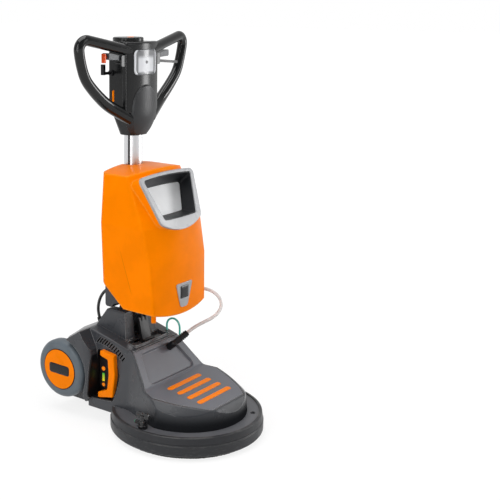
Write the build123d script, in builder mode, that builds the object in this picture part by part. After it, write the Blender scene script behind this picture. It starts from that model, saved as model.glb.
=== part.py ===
"""Single-disc floor buffer with a solution tank, as an assembly of separate named pieces.

Millimetres. The origin lies on the floor under the centre of the pad, +Z is up, the front is -Y and
the width runs along X. The operator stands behind the mast, so "right" is the -X side and "left" is +X.
"""
import os
from math import cos, pi, radians, sin, sqrt, tan

from build123d import *

os.makedirs("parts", exist_ok=True)

# Disc, flange and bumper
BUMPER_R = 216.0
FLANGE_R = 205.5
FLANGE_TOP = 63.0
FLANGE_T = 8.0
SKIRT_T = 6.0
SKIRT_LOW = 22.0
BUMPER_LOW = 12.0
BUMPER_TOP = 65.5
BUMPER_BAND = 40.0
BUMPER_GAP = (133.0, 120.0)
FLANGE_HOLE = (87.0, -165.0)
FLANGE_HOLE_R = 4.0
TONGUE_HALF = 100.0
TONGUE_Y = (120.0, 384.0)
TONGUE_LOW = 50.0
AXLE_POST_X = (78.0, 92.0)
AXLE_POST_Y = (334.0, 368.0)
AXLE_POST_TOP = 152.0
PAD_R = 198.0
PAD_T = 18.0
DRIVER_R = 194.0
DRIVER_TOP = 32.0
DRIVER_HUB_R = 38.0
DRIVER_HUB_TOP = 40.0

# Half width of anything that cuts right across the machine
WIDE = 200.0

# Body outline on the flange, as half of a plan that is mirrored about X
DOME_R = 170.0
DOME_SWEEP = 85.0
FLANK = [(161, 14), (143, 60), (124, 114), (126, 170), (129, 300), (118, 394)]
FLANK_FILLETS = [70, 60, 60, 40, 60, 20]
DRAFT = 6.5
WALL = 4.0
SILL_LOW = 40.0
SILL_FRONT = 120.0
SILL_INNER = 122.0

# Body side profile as (y, z): deck, crease, ramp, shoulder and tail
CREASE = (42.0, 142.0)
DECK_SLOPE = 24.0 / 185.0
RAMP_TOP = (115.0, 230.0)
PROFILE_FAR = 260.0
PROFILE_LOW = -60.0
SHOULDER = [(200, 252), (275, 268), (330, 249), (374, 200), (400, 110)]
CREASE_FILLET = 17.0
RAMP_FILLET = 5.0
SHOULDER_FILLET = 30.0

# Crown of the dome: a flat leaning front face and two broad, slightly bowed side faces
CROWN_FRONT = (-146.0, 118.0)
CROWN_LEAN = 45.0
CROWN_BOW_R = 400.0
CROWN_BOW_MID = (128.0, -84.0)
CROWN_FACING = 56.0
CROWN_RIM_Y = (-146.0, -70.0, 10.0)
CROWN_HIGH = 200.0

# Sloping rear top of each fender, as a place on it and the way it faces
REAR_SLOPE_AT = (129.0, 343.0, 225.0)
REAR_SLOPE_FACING = (0.18, 0.55, 0.82)

# Deck lid
LID_INSET = 5.0
LID_GAP = 1.8
LID_T = 7.0
LID_REAR = 113.0
LID_LEDGE = 14.0
RIM_ROUND = 5.0
RIM_LOW = 100.0
RIM_REAR = 118.0
RECESS_DEPTH = 7.0
RECESS_HALF = (108.0, 76.0)
RECESS_ALONG = (7.0, 101.0)
RECESS_ROUND = 16.0
RECESS_LEAN = 38.0
PAN_T = 3.0
BAR_COUNT = 4
BAR_SIZE = (150.0, 16.0)
BAR_FIRST = 34.0
BAR_PITCH = 34.0
BAR_SUNK = 1.2
BAR_PROUD = 0.6

# Mast, its pivot and the tower round its foot
MAST_Y = 197.0
MAST_R = 25.5
MAST_BORE_R = 21.5
MAST_LOW = 345.0
MAST_HIGH = 886.0
MAST_GROOVE_AZIMUTH = 80.0
MAST_GROOVE_R = 2.2
PIVOT = (218.0, 268.0)
PIN_R = 8.0
RUNNING_GAP = 0.05
SLOT_HALF = 29.5
SLOT_Y = (165.0, 272.0)
TRAY_HALF = 72.0
TRAY_Y = (127.0, 165.0)
TRAY_FLOOR = 226.0
TRAY_TOP = 238.0
RIB_X = 46.0
RIB_SIZE = (36.0, 12.0)
RIB_TALL = 6.0
STRAP = [(138, 226), (152, 226), (166, 296), (159, 299), (145, 238), (138, 236)]
STRAP_HALF = 19.0
LINK = [(156, 278), (163, 276), (165, 330), (157, 332)]
LINK_X = (-11.0, 6.0)
LINK_T = 5.0
FOOT_HALF = 24.0
FOOT_EYE_R = 22.0
FOOT_BLOCK_Y = (176.0, 222.0)
FOOT_BLOCK_LOW = 315.0
FOOT_PLUG = 55.0
FOOT_GAP = 0.5
LUG = [(152, 333), (176, 325), (176, 344), (166, 352), (152, 352)]
LUG_X = (-22.0, 14.0)
LUG_T = 8.0
TOWER_WALL = 3.5
HUMP_LOW = 234.0
HUMP_TOP = 322.0
HUMP_FOOT = (69.0, 166.0, 302.0)
HUMP_CROWN = (62.0, 176.0, 241.0)
CLAMP = (160.0, 342.0)
CLAMP_R = 6.0
CLAMP_X = (-50.0, 56.0)
SPOON_X = 68.0
SPOON_SIZE = (36.0, 18.0)
SPOON_T = 6.0
YOKE_X = (34.0, 40.0)
YOKE_Y = (206.0, 236.0)
YOKE_TOP = 286.0
YOKE_FOOT_HALF = 60.0
YOKE_FOOT_Y = (203.0, 258.0)
YOKE_FOOT_T = 6.0
PIN_HALF = 46.0
PIN_HEAD_T = 4.8

# Wheels and axle
WHEEL_Y = 351.0
WHEEL_Z = 135.0
WHEEL_R = 87.0
WHEEL_X = (111.0, 150.0)
CAP_R = 61.0
AXLE_R = 10.0
ARCH_R = 101.0
ARCH_X = 106.0
FENDER_X = 150.0
ARCH_FOOT = (258.0, 100.0)
FENDER = [(292, 300), (240, 216), (230, 150), (236, 78), (256, 56), (276, 56), (322, 135), (322, 300)]
FENDER_FILLET = 18.0
AXLE_HALF = 145.0

# Side recess with its fascia and grab handle, as (y, z) outlines
POCKET = [(237, 217), (170, 208), (150, 152), (156, 112), (168, 74), (248, 66), (240, 150)]
POCKET_FLOOR_X = 86.0
POCKET_WALL = 3.0
POCKET_ROUND = 9.0
POCKET_GAP = 0.3
FASCIA_Y = (194.0, 234.0)
FASCIA_Z = (99.0, 188.0)
FASCIA_X = 104.0
LENS_Y = 220.0
LENSES = [(156.0, 6.0), (107.0, 5.0)]
LENS_BAR_Z = (118.0, 142.0)
LENS_BAR_HALF = 4.0
LENS_SUNK = 2.0
LENS_PROUD = 1.2
LENS_GAP = 0.3
GRAB = [
    (214, 219), (164, 213), (160, 152), (168, 87), (223, 74),
    (223, 91), (189, 105), (183, 152), (186, 196), (214, 203),
]
GRAB_X = (112.0, 127.0)
GRAB_LEGS = [((202.0, 212.0), (197.0, 206.5)), ((209.0, 221.0), (79.0, 90.0))]
VENT_COUNT = 12
VENT_LONG = (23.0, 18.0)
VENT_WIDE = 5.2
VENT_LEAN = 38.0
SCREEN = [(248, 222), (248, 262), (190, 252), (136, 224), (128, 205), (140, 190), (158, 206), (190, 216)]
VENT_ARC = [(235, 240), (186, 241), (143, 203)]

# Motor and belt drive
MOTOR_Y = 155.0
MOTOR_R = 58.0
MOTOR_LOW = 118.0
MOTOR_TOP = 186.0
MOTOR_SHAFT_R = 7.0
MOTOR_PLATE_HALF = 75.0
MOTOR_PLATE_Y = (105.0, 201.0)
MOTOR_PLATE_T = 6.0
MOTOR_POST_X = 66.0
MOTOR_POST_Y = (115.0, 193.0)
MOTOR_POST_R = 6.0
MOTOR_WALL = 4.0
BELL_R = 30.0
BELL_TALL = 16.0
STATOR_BORE_R = 36.0
STATOR_LOW = 132.0
STATOR_TALL = 44.0
AIR_GAP = 0.6
PULLEY_R = 100.0
MOTOR_PULLEY_R = 25.0
BELT_Z = (97.0, 113.0)
BELT_T = 3.0
BELT_GAP = 0.3
SHAFT_R = 15.0
SHAFT_TOP = 118.0
PULLEY_RIM = 10.0
PULLEY_HOLES = (56.0, 6)
PULLEY_HOLE_R = 18.0
BEARING_R = 31.0
BEARING_BOSS_R = 45.0
BEARING_T = 16.0
BEARING_Z = (44.0, 76.0)
CONTROL_HALF = 58.0
CONTROL_Y = (264.0, 328.0)
CONTROL_TOP = 138.0

# Tank on the mast
TANK_REAR = 212.0
TANK_HEIGHTS = (330.0, 490.0, 590.0, 760.0)
TANK_HALVES = (117.0, 124.5, 129.0, 114.0)
TANK_SIDE_Y = (27.0, 36.0, 58.0, 138.0)
TANK_FRONT_Y = (16.0, 14.5, 20.0, 99.0)
TANK_WIDEST = 140.0
TANK_WALL = 5.0
TANK_REAR_ROUND = 15.0
TANK_FRONT_ROUND = 8.0
HOOD_DEEP = 75.0
LINER_T = 2.5
TANK_BOTTOM = (361.0, 340.0)
TANK_CROWN = (719.0, 739.0)
TANK_CHAMFER = [(73.6, 300), (212, 425)]
CHANNEL_R = 27.5
BEZEL_FOOT = (24.0, 594.0)
BEZEL_UP = (0.4128, 0.9108)
BEZEL_T = 6.0
BEZEL_OUTER = [(119.0, 141.0, 147.0), (90.0, 8.0, -17.0)]
BEZEL_FILLETS = (14.0, 20.0)
HOPPER_MOUTH = [(104.0, 133.0, 138.0), (70.0, 17.0, 15.0)]
HOPPER_FLOOR = [(97.0, 117.0, 120.0), (68.0, 36.0, 34.5)]
HOPPER_FILLETS = (7.0, 7.0)
HOPPER_DEPTH = 42.0
PORT_LONG = 14.0
SPIGOT = (-42.0, 88.0)
SPIGOT_R = 7.0
SPIGOT_Z = (306.0, 347.0)
BADGE_Z = (359.0, 428.0)
BADGE_HALF = (36.0, 15.0)
BADGE_Y = (13.5, 24.0)

# Bracket that holds the tank on the mast, as a (y, z) outline
BRACKET = [(158, 380), (212.5, 428), (212.5, 432), (252, 420), (252, 327), (228, 327), (222, 338), (168, 352)]
BRACKET_HALF = 58.0

# Handle head
HEAD_LOW = MAST_HIGH
HEAD_TOP = 1070.0
HEAD_HALF = 67.0
HEAD_FRONT = 152.0
HEAD_SIDE_Y = 165.0
HEAD_CORNER = 7.0
HEAD_SPLIT = 179.0
HEAD_REAR = 246.0
HEAD_REAR_HALF = 50.0
HEAD_WALL = 4.0
TOP_CAP_R = 42.0
TOP_CAP_Y = 215.0
TOP_CAP_T = 11.0
NECK_SECTIONS = [(820.0, 35.0, 166.0, 226.0, 22.0), (HEAD_LOW, 57.0, 160.0, 234.0, 14.0)]
BOSS_Z = 890.0
BOSS_FACE = (44.0, 64.0)
BOSS_TAPER = 16.0
BOSS_PROUD = 6.0
BOSS_LEAD = 1.0
BOSS_BEND_Z = 868.0
BOSS_BEND_R = 120.0
BOSS_FOOT = (166.0, 820.0)
WINDOW_Z = (985.0, 1048.0)
WINDOW_HALF = 42.0
WINDOW_T = 2.0
WINDOW_SCREW_R = 4.0
WINDOW_SCREW_TALL = 1.5
GRIP_R = 14.0
ARM_R = 17.5
ARM_FROM = 2
LOOP = [
    (48, 172, 1048), (223, 194.5, 1085), (213.5, 196.5, 1028), (196, 196.5, 980), (161, 195.5, 945),
    (114, 193, 907), (42, 173, 867),
]
LOOP_CORNER_R = 23.5
EAR_Y = (169.0, 173.0)
EAR_PLACE = (64.0, 1022.0)
EAR_SIZE = (36.0, 30.0)
LEVER_PIN_R = 3.0
TRIGGER_PIVOT = (74.0, 1029.0)
TRIGGER_Y = (173.0, 197.0)
TRIGGER_PLAY = 0.8
TRIGGER_END = 127.0
TRIGGER = [(69, 1024), (TRIGGER_END, 1027), (TRIGGER_END, 1045), (69, 1034)]
STEM_R = 4.0
STEM_X = (114.0, 133.0)
BUTTON = (185.0, 1035.0)
BUTTON_HALF = 6.0
BUTTON_X = (131.0, 138.5)
BUTTON_Z = (1019.0, 1043.5)
RELEASE_PIVOT = (73.0, 1016.0)
RELEASE_Y = (180.0, 190.0)
RELEASE = [(68, 1012), (78, 1012), (176, 1004), (178, 1011), (78, 1020), (68, 1020)]
HOOK_PIVOT = (232.0, 987.0)
HOOK_R = 4.0
HOOK_X = 88.0
HOOK_TALL = 24.0

# Cords
HOSE_R = 5.0
HOSE_ROUTE = [
    (124, 52, 376), (137, 38, 373.2), (146, 20, 366.5), (151.5, 2.5, 353.5), (152, -8, 334),
    (144.5, -5.5, 312), (131, 9, 293), (114, 29, 279.5), (95.36, 48.48, 265.4), (80, 60, 251),
]
CABLE_R = 4.5
CABLE_ROUTE = [
    (0, 252, 366), (0, 270, 366), (0, 293, 357), (0, 314, 338), (0, 328, 313), (0, 333.1, 281.1),
    (0, 326.6, 262.2),
]
GLAND_FOOT = (0.0, 322.0, 248.9)
TEAL_R = 3.0
TEAL_ROUTE = [
    (96, 146, 233), (96, 147, 245.6), (96, 147, 258.3), (96.5, 140.7, 269.1), (97, 129.9, 275.4),
    (97, 117.4, 275.4), (96.5, 106.6, 269.1), (96, 100.3, 258.3), (96, 99.6, 245.7), (96, 99.9, 233),
    (96, 100.4, 220.4), (96, 100.4, 208),
]
ELBOW_FOOT = (50.0, 98.0, 209.5)
ELBOW_BEND = (48.0, 84.0, 221.0)
ELBOW_R = 10.2
BARREL_RIBS = 5
BARREL_FIRST = 16.0
BARREL_PITCH = 6.0
VALVE = (-187.0, 8.0)
VALVE_TOP = 84.0
VALVE_FOOT_R = 13.0
VALVE_FOOT_T = 9.0
VALVE_R = 9.0
WING_SIZE = (42.0, 16.0)
WING_WAIST_R = 5.0
WING_T = 6.0
SPOUT_LONG = 24.0
SPOUT_R = 5.5
SPOUT_SUNK = 1.5


def keep(piece, name):
    """Label a finished piece and write its STEP file."""
    piece.part.label = name
    export_step(piece.part, f"parts/{name}.step")


def deck_z(y):
    """Height of the deck plane over a place y."""
    return CREASE[1] + (y - CREASE[0]) * DECK_SLOPE


def plan_prism(inset):
    """The body's drafted plan standing on the flange, drawn in by inset."""
    with BuildPart() as prism:
        with BuildSketch(Plane.XY.offset(FLANGE_TOP)) as plan:
            with BuildLine():
                dome = CenterArc((0, 0), DOME_R, -90, DOME_SWEEP)
                side = Polyline(dome @ 1, *FLANK)
                Line(side @ 1, (0, FLANK[-1][1]))
                Line((0, FLANK[-1][1]), dome @ 0)
            make_face()
            for corner, radius in zip(FLANK, FLANK_FILLETS):
                fillet(plan.vertices().sort_by_distance(corner)[0], radius=radius)
            mirror(about=Plane.YZ)
            if inset:
                offset(amount=-inset)
        extrude(amount=240, taper=DRAFT)
    return prism.part


def profile_prism(drop):
    """Everything under the body's side profile, lowered square to it by drop."""
    with BuildPart() as prism:
        with BuildSketch(Plane.YZ) as outline:
            with BuildLine():
                Polyline(
                    (-PROFILE_FAR, PROFILE_LOW), (-PROFILE_FAR, deck_z(-PROFILE_FAR)), CREASE, RAMP_TOP,
                    *SHOULDER, (SHOULDER[-1][0], PROFILE_LOW), close=True,
                )
            make_face()
            bends = [(CREASE, CREASE_FILLET), (RAMP_TOP, RAMP_FILLET)]
            bends += [(corner, SHOULDER_FILLET) for corner in SHOULDER[1:4]]
            for corner, radius in bends:
                fillet(outline.vertices().sort_by_distance(corner)[0], radius=radius)
            if drop:
                offset(amount=-drop, kind=Kind.INTERSECTION)
        extrude(amount=PROFILE_FAR, both=True)
    return prism.part


def box_part(x, y, z):
    """A plain box between two corners, each given as a (low, high) pair."""
    with BuildPart() as block:
        with BuildSketch(Plane.XY.offset(z[0])):
            with Locations(((x[0] + x[1]) / 2, (y[0] + y[1]) / 2)):
                Rectangle(x[1] - x[0], y[1] - y[0])
        extrude(amount=z[1] - z[0])
    return block.part


def side_prism(outline, x, rounding=0.0, inset=0.0):
    """A (y, z) outline extruded along X between two places."""
    with BuildPart() as prism:
        with BuildSketch(Plane.YZ.offset(x[0])) as face:
            with BuildLine():
                Polyline(*outline, close=True)
            make_face()
            if rounding:
                fillet(face.vertices(), radius=rounding)
            if inset:
                offset(amount=-inset)
        extrude(amount=x[1] - x[0])
    return prism.part


def x_cylinder(radius, y, z, x):
    """A cylinder along X between two places."""
    with BuildPart() as rod:
        with BuildSketch(Plane.YZ.offset(x[0])):
            with Locations((y, z)):
                Circle(radius)
        extrude(amount=x[1] - x[0])
    return rod.part


def z_cylinder(radius, x, y, z):
    """A cylinder along Z between two heights."""
    with BuildPart() as rod:
        with BuildSketch(Plane.XY.offset(z[0])):
            with Locations((x, y)):
                Circle(radius)
        extrude(amount=z[1] - z[0])
    return rod.part


def mirrored(solid):
    """The same solid on the other side of the machine."""
    return solid.mirror(Plane.YZ)


# Base casting: flange, skirt, bearing boss, rear tongue and axle posts
tongue = box_part((-TONGUE_HALF, TONGUE_HALF), TONGUE_Y, (TONGUE_LOW, FLANGE_TOP))
axle_post = box_part(AXLE_POST_X, AXLE_POST_Y, (FLANGE_TOP, AXLE_POST_TOP))
with BuildPart() as base_plate:
    with BuildSketch(Plane.XY.offset(FLANGE_TOP - FLANGE_T)):
        Circle(FLANGE_R)
    extrude(amount=FLANGE_T)
    with BuildSketch(Plane.XY.offset(SKIRT_LOW)):
        Circle(FLANGE_R)
        Circle(FLANGE_R - SKIRT_T, mode=Mode.SUBTRACT)
    extrude(amount=FLANGE_TOP - FLANGE_T - SKIRT_LOW)
    with BuildSketch(Plane.XY.offset(BEARING_Z[0] - 1)):
        Circle(BEARING_BOSS_R)
    extrude(amount=BEARING_Z[1] + BEARING_T - BEARING_Z[0] + 1)
    add(tongue)
    add(axle_post)
    add(mirrored(axle_post))
    for low in BEARING_Z:
        with BuildSketch(Plane.XY.offset(low)):
            Circle(BEARING_R)
        extrude(amount=BEARING_T, mode=Mode.SUBTRACT)
    with BuildSketch(Plane.XY.offset(BEARING_Z[0] - 1)):
        Circle(BEARING_R - 4)
    extrude(amount=BEARING_Z[1] - BEARING_Z[0] + BEARING_T, mode=Mode.SUBTRACT)
    with BuildSketch(Plane.XY.offset(FLANGE_TOP - FLANGE_T)):
        with Locations(FLANGE_HOLE):
            Circle(FLANGE_HOLE_R)
    extrude(amount=FLANGE_T, mode=Mode.SUBTRACT)
    add(x_cylinder(AXLE_R, WHEEL_Y, WHEEL_Z, (-WIDE, WIDE)), mode=Mode.SUBTRACT)
keep(base_plate, "base_plate")

# Rubber bumper: two bands with a groove, open at the rear where the body crosses it
with BuildPart() as bumper_ring:
    with BuildSketch(Plane.XZ):
        with BuildLine():
            Polyline(
                (FLANGE_R + 0.2, BUMPER_LOW), (BUMPER_R - 3, BUMPER_LOW), (BUMPER_R, BUMPER_LOW + 4),
                (BUMPER_R, BUMPER_BAND), (BUMPER_R - 3, BUMPER_BAND + 3), (BUMPER_R - 3, BUMPER_BAND + 5),
                (BUMPER_R - 2, BUMPER_BAND + 7),
                (BUMPER_R - 4.5, BUMPER_TOP - 2), (BUMPER_R - 7, BUMPER_TOP), (FLANGE_R - 3, BUMPER_TOP),
                (FLANGE_R - 3, FLANGE_TOP + 0.2), (FLANGE_R + 0.2, FLANGE_TOP + 0.2), close=True,
            )
        make_face()
    revolve(axis=Axis.Z)
    gap_half, gap_front = BUMPER_GAP
    add(box_part((-gap_half, gap_half), (gap_front, BUMPER_R + 1), (0, BUMPER_TOP + 1)), mode=Mode.SUBTRACT)
keep(bumper_ring, "bumper_ring")

# Filled outer form of the body, before it is hollowed
with BuildPart() as fender:
    add(side_prism(FENDER, (ARCH_X - 6, FENDER_X)))
    outer_edges = fender.edges().filter_by_position(Axis.X, FENDER_X - 1, FENDER_X + 1)
    front_edges = outer_edges.sort_by(lambda edge: edge.center().Y)[:3]
    fillet(front_edges, radius=FENDER_FILLET)

bow_facing = radians(CROWN_FACING)
crown_centre = (
    CROWN_BOW_MID[0] - CROWN_BOW_R * sin(bow_facing),
    CROWN_BOW_MID[1] + CROWN_BOW_R * cos(bow_facing),
)
crown_run = tan(radians(CROWN_LEAN))


def crown_cut(inset):
    """What the leaning faces of the crown take off the dome, each face drawn in by inset."""
    below = (CROWN_FRONT[1] - FLANGE_TOP) * crown_run
    above = (CROWN_HIGH - CROWN_FRONT[1]) * crown_run
    front = CROWN_FRONT[0] + inset
    front_foot, front_head = (front - below, FLANGE_TOP), (front + above, CROWN_HIGH)
    rear_foot, rear_head = (CREASE[0], FLANGE_TOP), (CREASE[0], CROWN_HIGH)
    front_block = side_prism([front_foot, rear_foot, rear_head, front_head], (-WIDE, WIDE))
    with BuildPart() as cone:
        with Locations((*crown_centre, (FLANGE_TOP + CROWN_HIGH) / 2)):
            Cone(CROWN_BOW_R + below - inset, CROWN_BOW_R - above - inset, CROWN_HIGH - FLANGE_TOP)
    with BuildPart() as core:
        add(front_block)
        add(cone.part, mode=Mode.INTERSECT)
        add(mirrored(cone.part), mode=Mode.INTERSECT)
    with BuildPart() as cut:
        add(box_part((-WIDE, WIDE), (-PROFILE_FAR, CREASE[0]), (FLANGE_TOP, CROWN_HIGH)))
        add(core.part, mode=Mode.SUBTRACT)
    return cut.part


def crown_rim(y):
    """Half width of the crown where its side face meets the deck, over a place y."""
    reach = CROWN_BOW_R - (deck_z(y) - CROWN_FRONT[1]) * crown_run
    return crown_centre[0] + sqrt(reach**2 - (y - crown_centre[1]) ** 2)


def crown_upright(inset):
    """Everything inside the crown's rim, with upright sides, drawn in by inset."""
    rear = FLANK[-1][1] + WIDE
    with BuildPart() as upright:
        with BuildSketch() as plan:
            with BuildLine():
                bow = ThreePointArc(*[(crown_rim(y), y) for y in CROWN_RIM_Y])
                Polyline(
                    bow @ 1, (WIDE, CROWN_RIM_Y[-1]), (WIDE, rear), (0, rear), (0, CROWN_RIM_Y[0]), bow @ 0,
                )
            make_face()
            mirror(about=Plane.YZ)
            offset(amount=-inset)
        extrude(amount=2 * WIDE)
    return upright.part


def rear_cut(inset):
    """What the sloping rear top takes off the left fender, its face lowered by inset."""
    slope_plane = Plane(origin=REAR_SLOPE_AT, z_dir=REAR_SLOPE_FACING)
    with BuildPart() as cut:
        with BuildSketch(slope_plane.offset(-inset)):
            Rectangle(2 * WIDE, 2 * WIDE)
        extrude(amount=WIDE)
    return cut.part


pad_clear = z_cylinder(FLANGE_R + 0.6, 0, 0, (0, FLANGE_TOP + 0.1))
with BuildPart() as sill:
    with BuildSketch(Plane.XY.offset(SILL_LOW)) as sill_plan:
        with BuildLine():
            front = SILL_FRONT - 10
            Polyline((0, front), (FLANK[2][0], front), *FLANK[3:], (0, FLANK[-1][1]), close=True)
        make_face()
        for corner, radius in zip(FLANK[3:], FLANK_FILLETS[3:]):
            fillet(sill_plan.vertices().sort_by_distance(corner)[0], radius=radius)
        mirror(about=Plane.YZ)
    extrude(amount=FLANGE_TOP - SILL_LOW)

body_top = profile_prism(0)
body_plan = plan_prism(0)
with BuildPart() as body_form:
    add(body_plan)
    add(crown_cut(0), mode=Mode.SUBTRACT)
    add(sill.part)
    add(fender.part)
    add(mirrored(fender.part))
    add(rear_cut(0), mode=Mode.SUBTRACT)
    add(mirrored(rear_cut(0)), mode=Mode.SUBTRACT)
    add(body_top, mode=Mode.INTERSECT)
    add(pad_clear, mode=Mode.SUBTRACT)
    high_edges = body_form.edges().filter_by(
        lambda edge: edge.bounding_box().min.Z > RIM_LOW and edge.bounding_box().max.Y < RIM_REAR
    )
    rim = high_edges.filter_by(lambda edge: abs(edge.center().X) > 1 or edge.center().Y < 0)
    fillet(rim, radius=RIM_ROUND)

# Deck lid: one lighter cover over deck and ramp, with the recessed panel and seats for the bars
deck_plane = Plane(
    origin=(0, *CREASE), x_dir=(1, 0, 0), z_dir=(0, -DECK_SLOPE, 1),
)
ramp_rise = RAMP_TOP[1] - CREASE[1]
ramp_run = RAMP_TOP[0] - CREASE[0]
ramp_plane = Plane(origin=(0, *CREASE), x_dir=(1, 0, 0), z_dir=(0, -ramp_rise, ramp_run))
with BuildSketch() as recess:
    with BuildLine():
        low, high = RECESS_ALONG
        wide_half, narrow_half = RECESS_HALF
        Polyline((-wide_half, low), (wide_half, low), (narrow_half, high), (-narrow_half, high), close=True)
    make_face()
    fillet(recess.vertices(), radius=RECESS_ROUND)
recess_face = recess.sketch
bar_places = [(0, -BAR_FIRST - BAR_PITCH * place) for place in range(BAR_COUNT)]
elbow_axis = Vector(*ELBOW_BEND) - Vector(*ELBOW_FOOT)
elbow_plane = Plane(origin=ELBOW_FOOT, z_dir=elbow_axis)
with BuildPart() as elbow_hole:
    with BuildSketch(elbow_plane.offset(-20)):
        Circle(ELBOW_R + 0.4)
    extrude(amount=40)

lid_slab = profile_prism(LID_T)
with BuildPart() as deck_lid:
    add(plan_prism(LID_INSET + LID_GAP))
    add(crown_upright(LID_INSET + LID_GAP), mode=Mode.INTERSECT)
    add(body_top, mode=Mode.INTERSECT)
    add(lid_slab, mode=Mode.SUBTRACT)
    add(box_part((-WIDE, WIDE), (LID_REAR, 460), (0, 400)), mode=Mode.SUBTRACT)
    with BuildSketch(ramp_plane.offset(-LID_T / 2)):
        add(recess_face)
    extrude(amount=LID_T / 2 - RECESS_DEPTH - PAN_T)
    with BuildSketch(ramp_plane):
        add(recess_face)
    extrude(amount=-RECESS_DEPTH, taper=RECESS_LEAN, mode=Mode.SUBTRACT)
    with BuildSketch(deck_plane):
        with Locations(*bar_places):
            SlotOverall(*BAR_SIZE)
    extrude(amount=-BAR_SUNK, mode=Mode.SUBTRACT)
    add(elbow_hole.part, mode=Mode.SUBTRACT)
    add(z_cylinder(TEAL_R + 0.8, *TEAL_ROUTE[-1][:2], (180, 260)), mode=Mode.SUBTRACT)
keep(deck_lid, "deck_lid")

with BuildPart() as deck_bars:
    with BuildSketch(deck_plane.offset(-BAR_SUNK)):
        with Locations(*bar_places):
            SlotOverall(BAR_SIZE[0] - 0.6, BAR_SIZE[1] - 0.6)
    extrude(amount=BAR_SUNK + BAR_PROUD)
keep(deck_bars, "deck_bars")

# Body shell: the outer form, hollowed, with its rebate, openings, arches, vents and tray
pocket_opening = side_prism(POCKET, (POCKET_FLOOR_X - WALL, WIDE), rounding=POCKET_ROUND)
arch = x_cylinder(ARCH_R, WHEEL_Y, WHEEL_Z, (ARCH_X, 200))
arch_tail = box_part((ARCH_X, 200), (WHEEL_Y, 420), (0, 300))
arch_foot = box_part((ARCH_X, WIDE), (ARCH_FOOT[0], 420), (0, ARCH_FOOT[1]))
foot_keepout = box_part(
    (ARCH_X - WALL, WIDE), (ARCH_FOOT[0] - WALL, 420), (0, ARCH_FOOT[1] + WALL),
)
arch_keepout = x_cylinder(ARCH_R + WALL, WHEEL_Y, WHEEL_Z, (ARCH_X - WALL, 200))
vent_curve = Bezier(*[Vector(0, *point) for point in VENT_ARC])
slot_run = (0, sin(radians(VENT_LEAN)), -cos(radians(VENT_LEAN)))
with BuildPart() as vents:
    for index in range(VENT_COUNT):
        along = index / (VENT_COUNT - 1)
        spot = vent_curve @ along
        slot_plane = Plane(origin=(90, spot.Y, spot.Z), x_dir=slot_run, z_dir=(1, 0, 0))
        with BuildSketch(slot_plane):
            SlotOverall(VENT_LONG[0] + (VENT_LONG[1] - VENT_LONG[0]) * along, VENT_WIDE)
        extrude(amount=60)

with BuildPart() as cavity:
    add(plan_prism(WALL))
    add(box_part((-SILL_INNER, SILL_INNER), (SILL_FRONT, FLANK[-1][1] - 2 * WALL), (0, FLANGE_TOP + 1)))
    add(crown_cut(WALL), mode=Mode.SUBTRACT)
    add(rear_cut(WALL), mode=Mode.SUBTRACT)
    add(mirrored(rear_cut(WALL)), mode=Mode.SUBTRACT)
    add(profile_prism(WALL), mode=Mode.INTERSECT)
    for keepout in (arch_keepout, foot_keepout):
        add(keepout, mode=Mode.SUBTRACT)
        add(mirrored(keepout), mode=Mode.SUBTRACT)

with BuildPart() as lid_rebate:
    add(plan_prism(LID_INSET))
    add(crown_upright(LID_INSET), mode=Mode.INTERSECT)
    add(lid_slab, mode=Mode.SUBTRACT)
    add(box_part((-WIDE, WIDE), (LID_REAR + LID_GAP, 460), (0, 400)), mode=Mode.SUBTRACT)

with BuildPart() as ledge_hole:
    add(plan_prism(LID_INSET + LID_LEDGE))
    add(crown_upright(LID_INSET + LID_LEDGE), mode=Mode.INTERSECT)

with BuildPart() as lid_ledge:
    add(plan_prism(LID_INSET - 1))
    add(profile_prism(LID_T), mode=Mode.INTERSECT)
    add(profile_prism(LID_T + WALL), mode=Mode.SUBTRACT)
    add(ledge_hole.part, mode=Mode.SUBTRACT)
    add(crown_cut(WALL - 1), mode=Mode.SUBTRACT)
    add(box_part((-WIDE, WIDE), (LID_REAR + LID_GAP, 460), (0, 400)), mode=Mode.SUBTRACT)

gland_plane = Plane(origin=GLAND_FOOT, z_dir=Vector(*CABLE_ROUTE[-2]) - Vector(*CABLE_ROUTE[-1]))
with BuildPart() as gland_hole:
    with BuildSketch(gland_plane.offset(-20)):
        Circle(CABLE_R + 3)
    extrude(amount=40)

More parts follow.
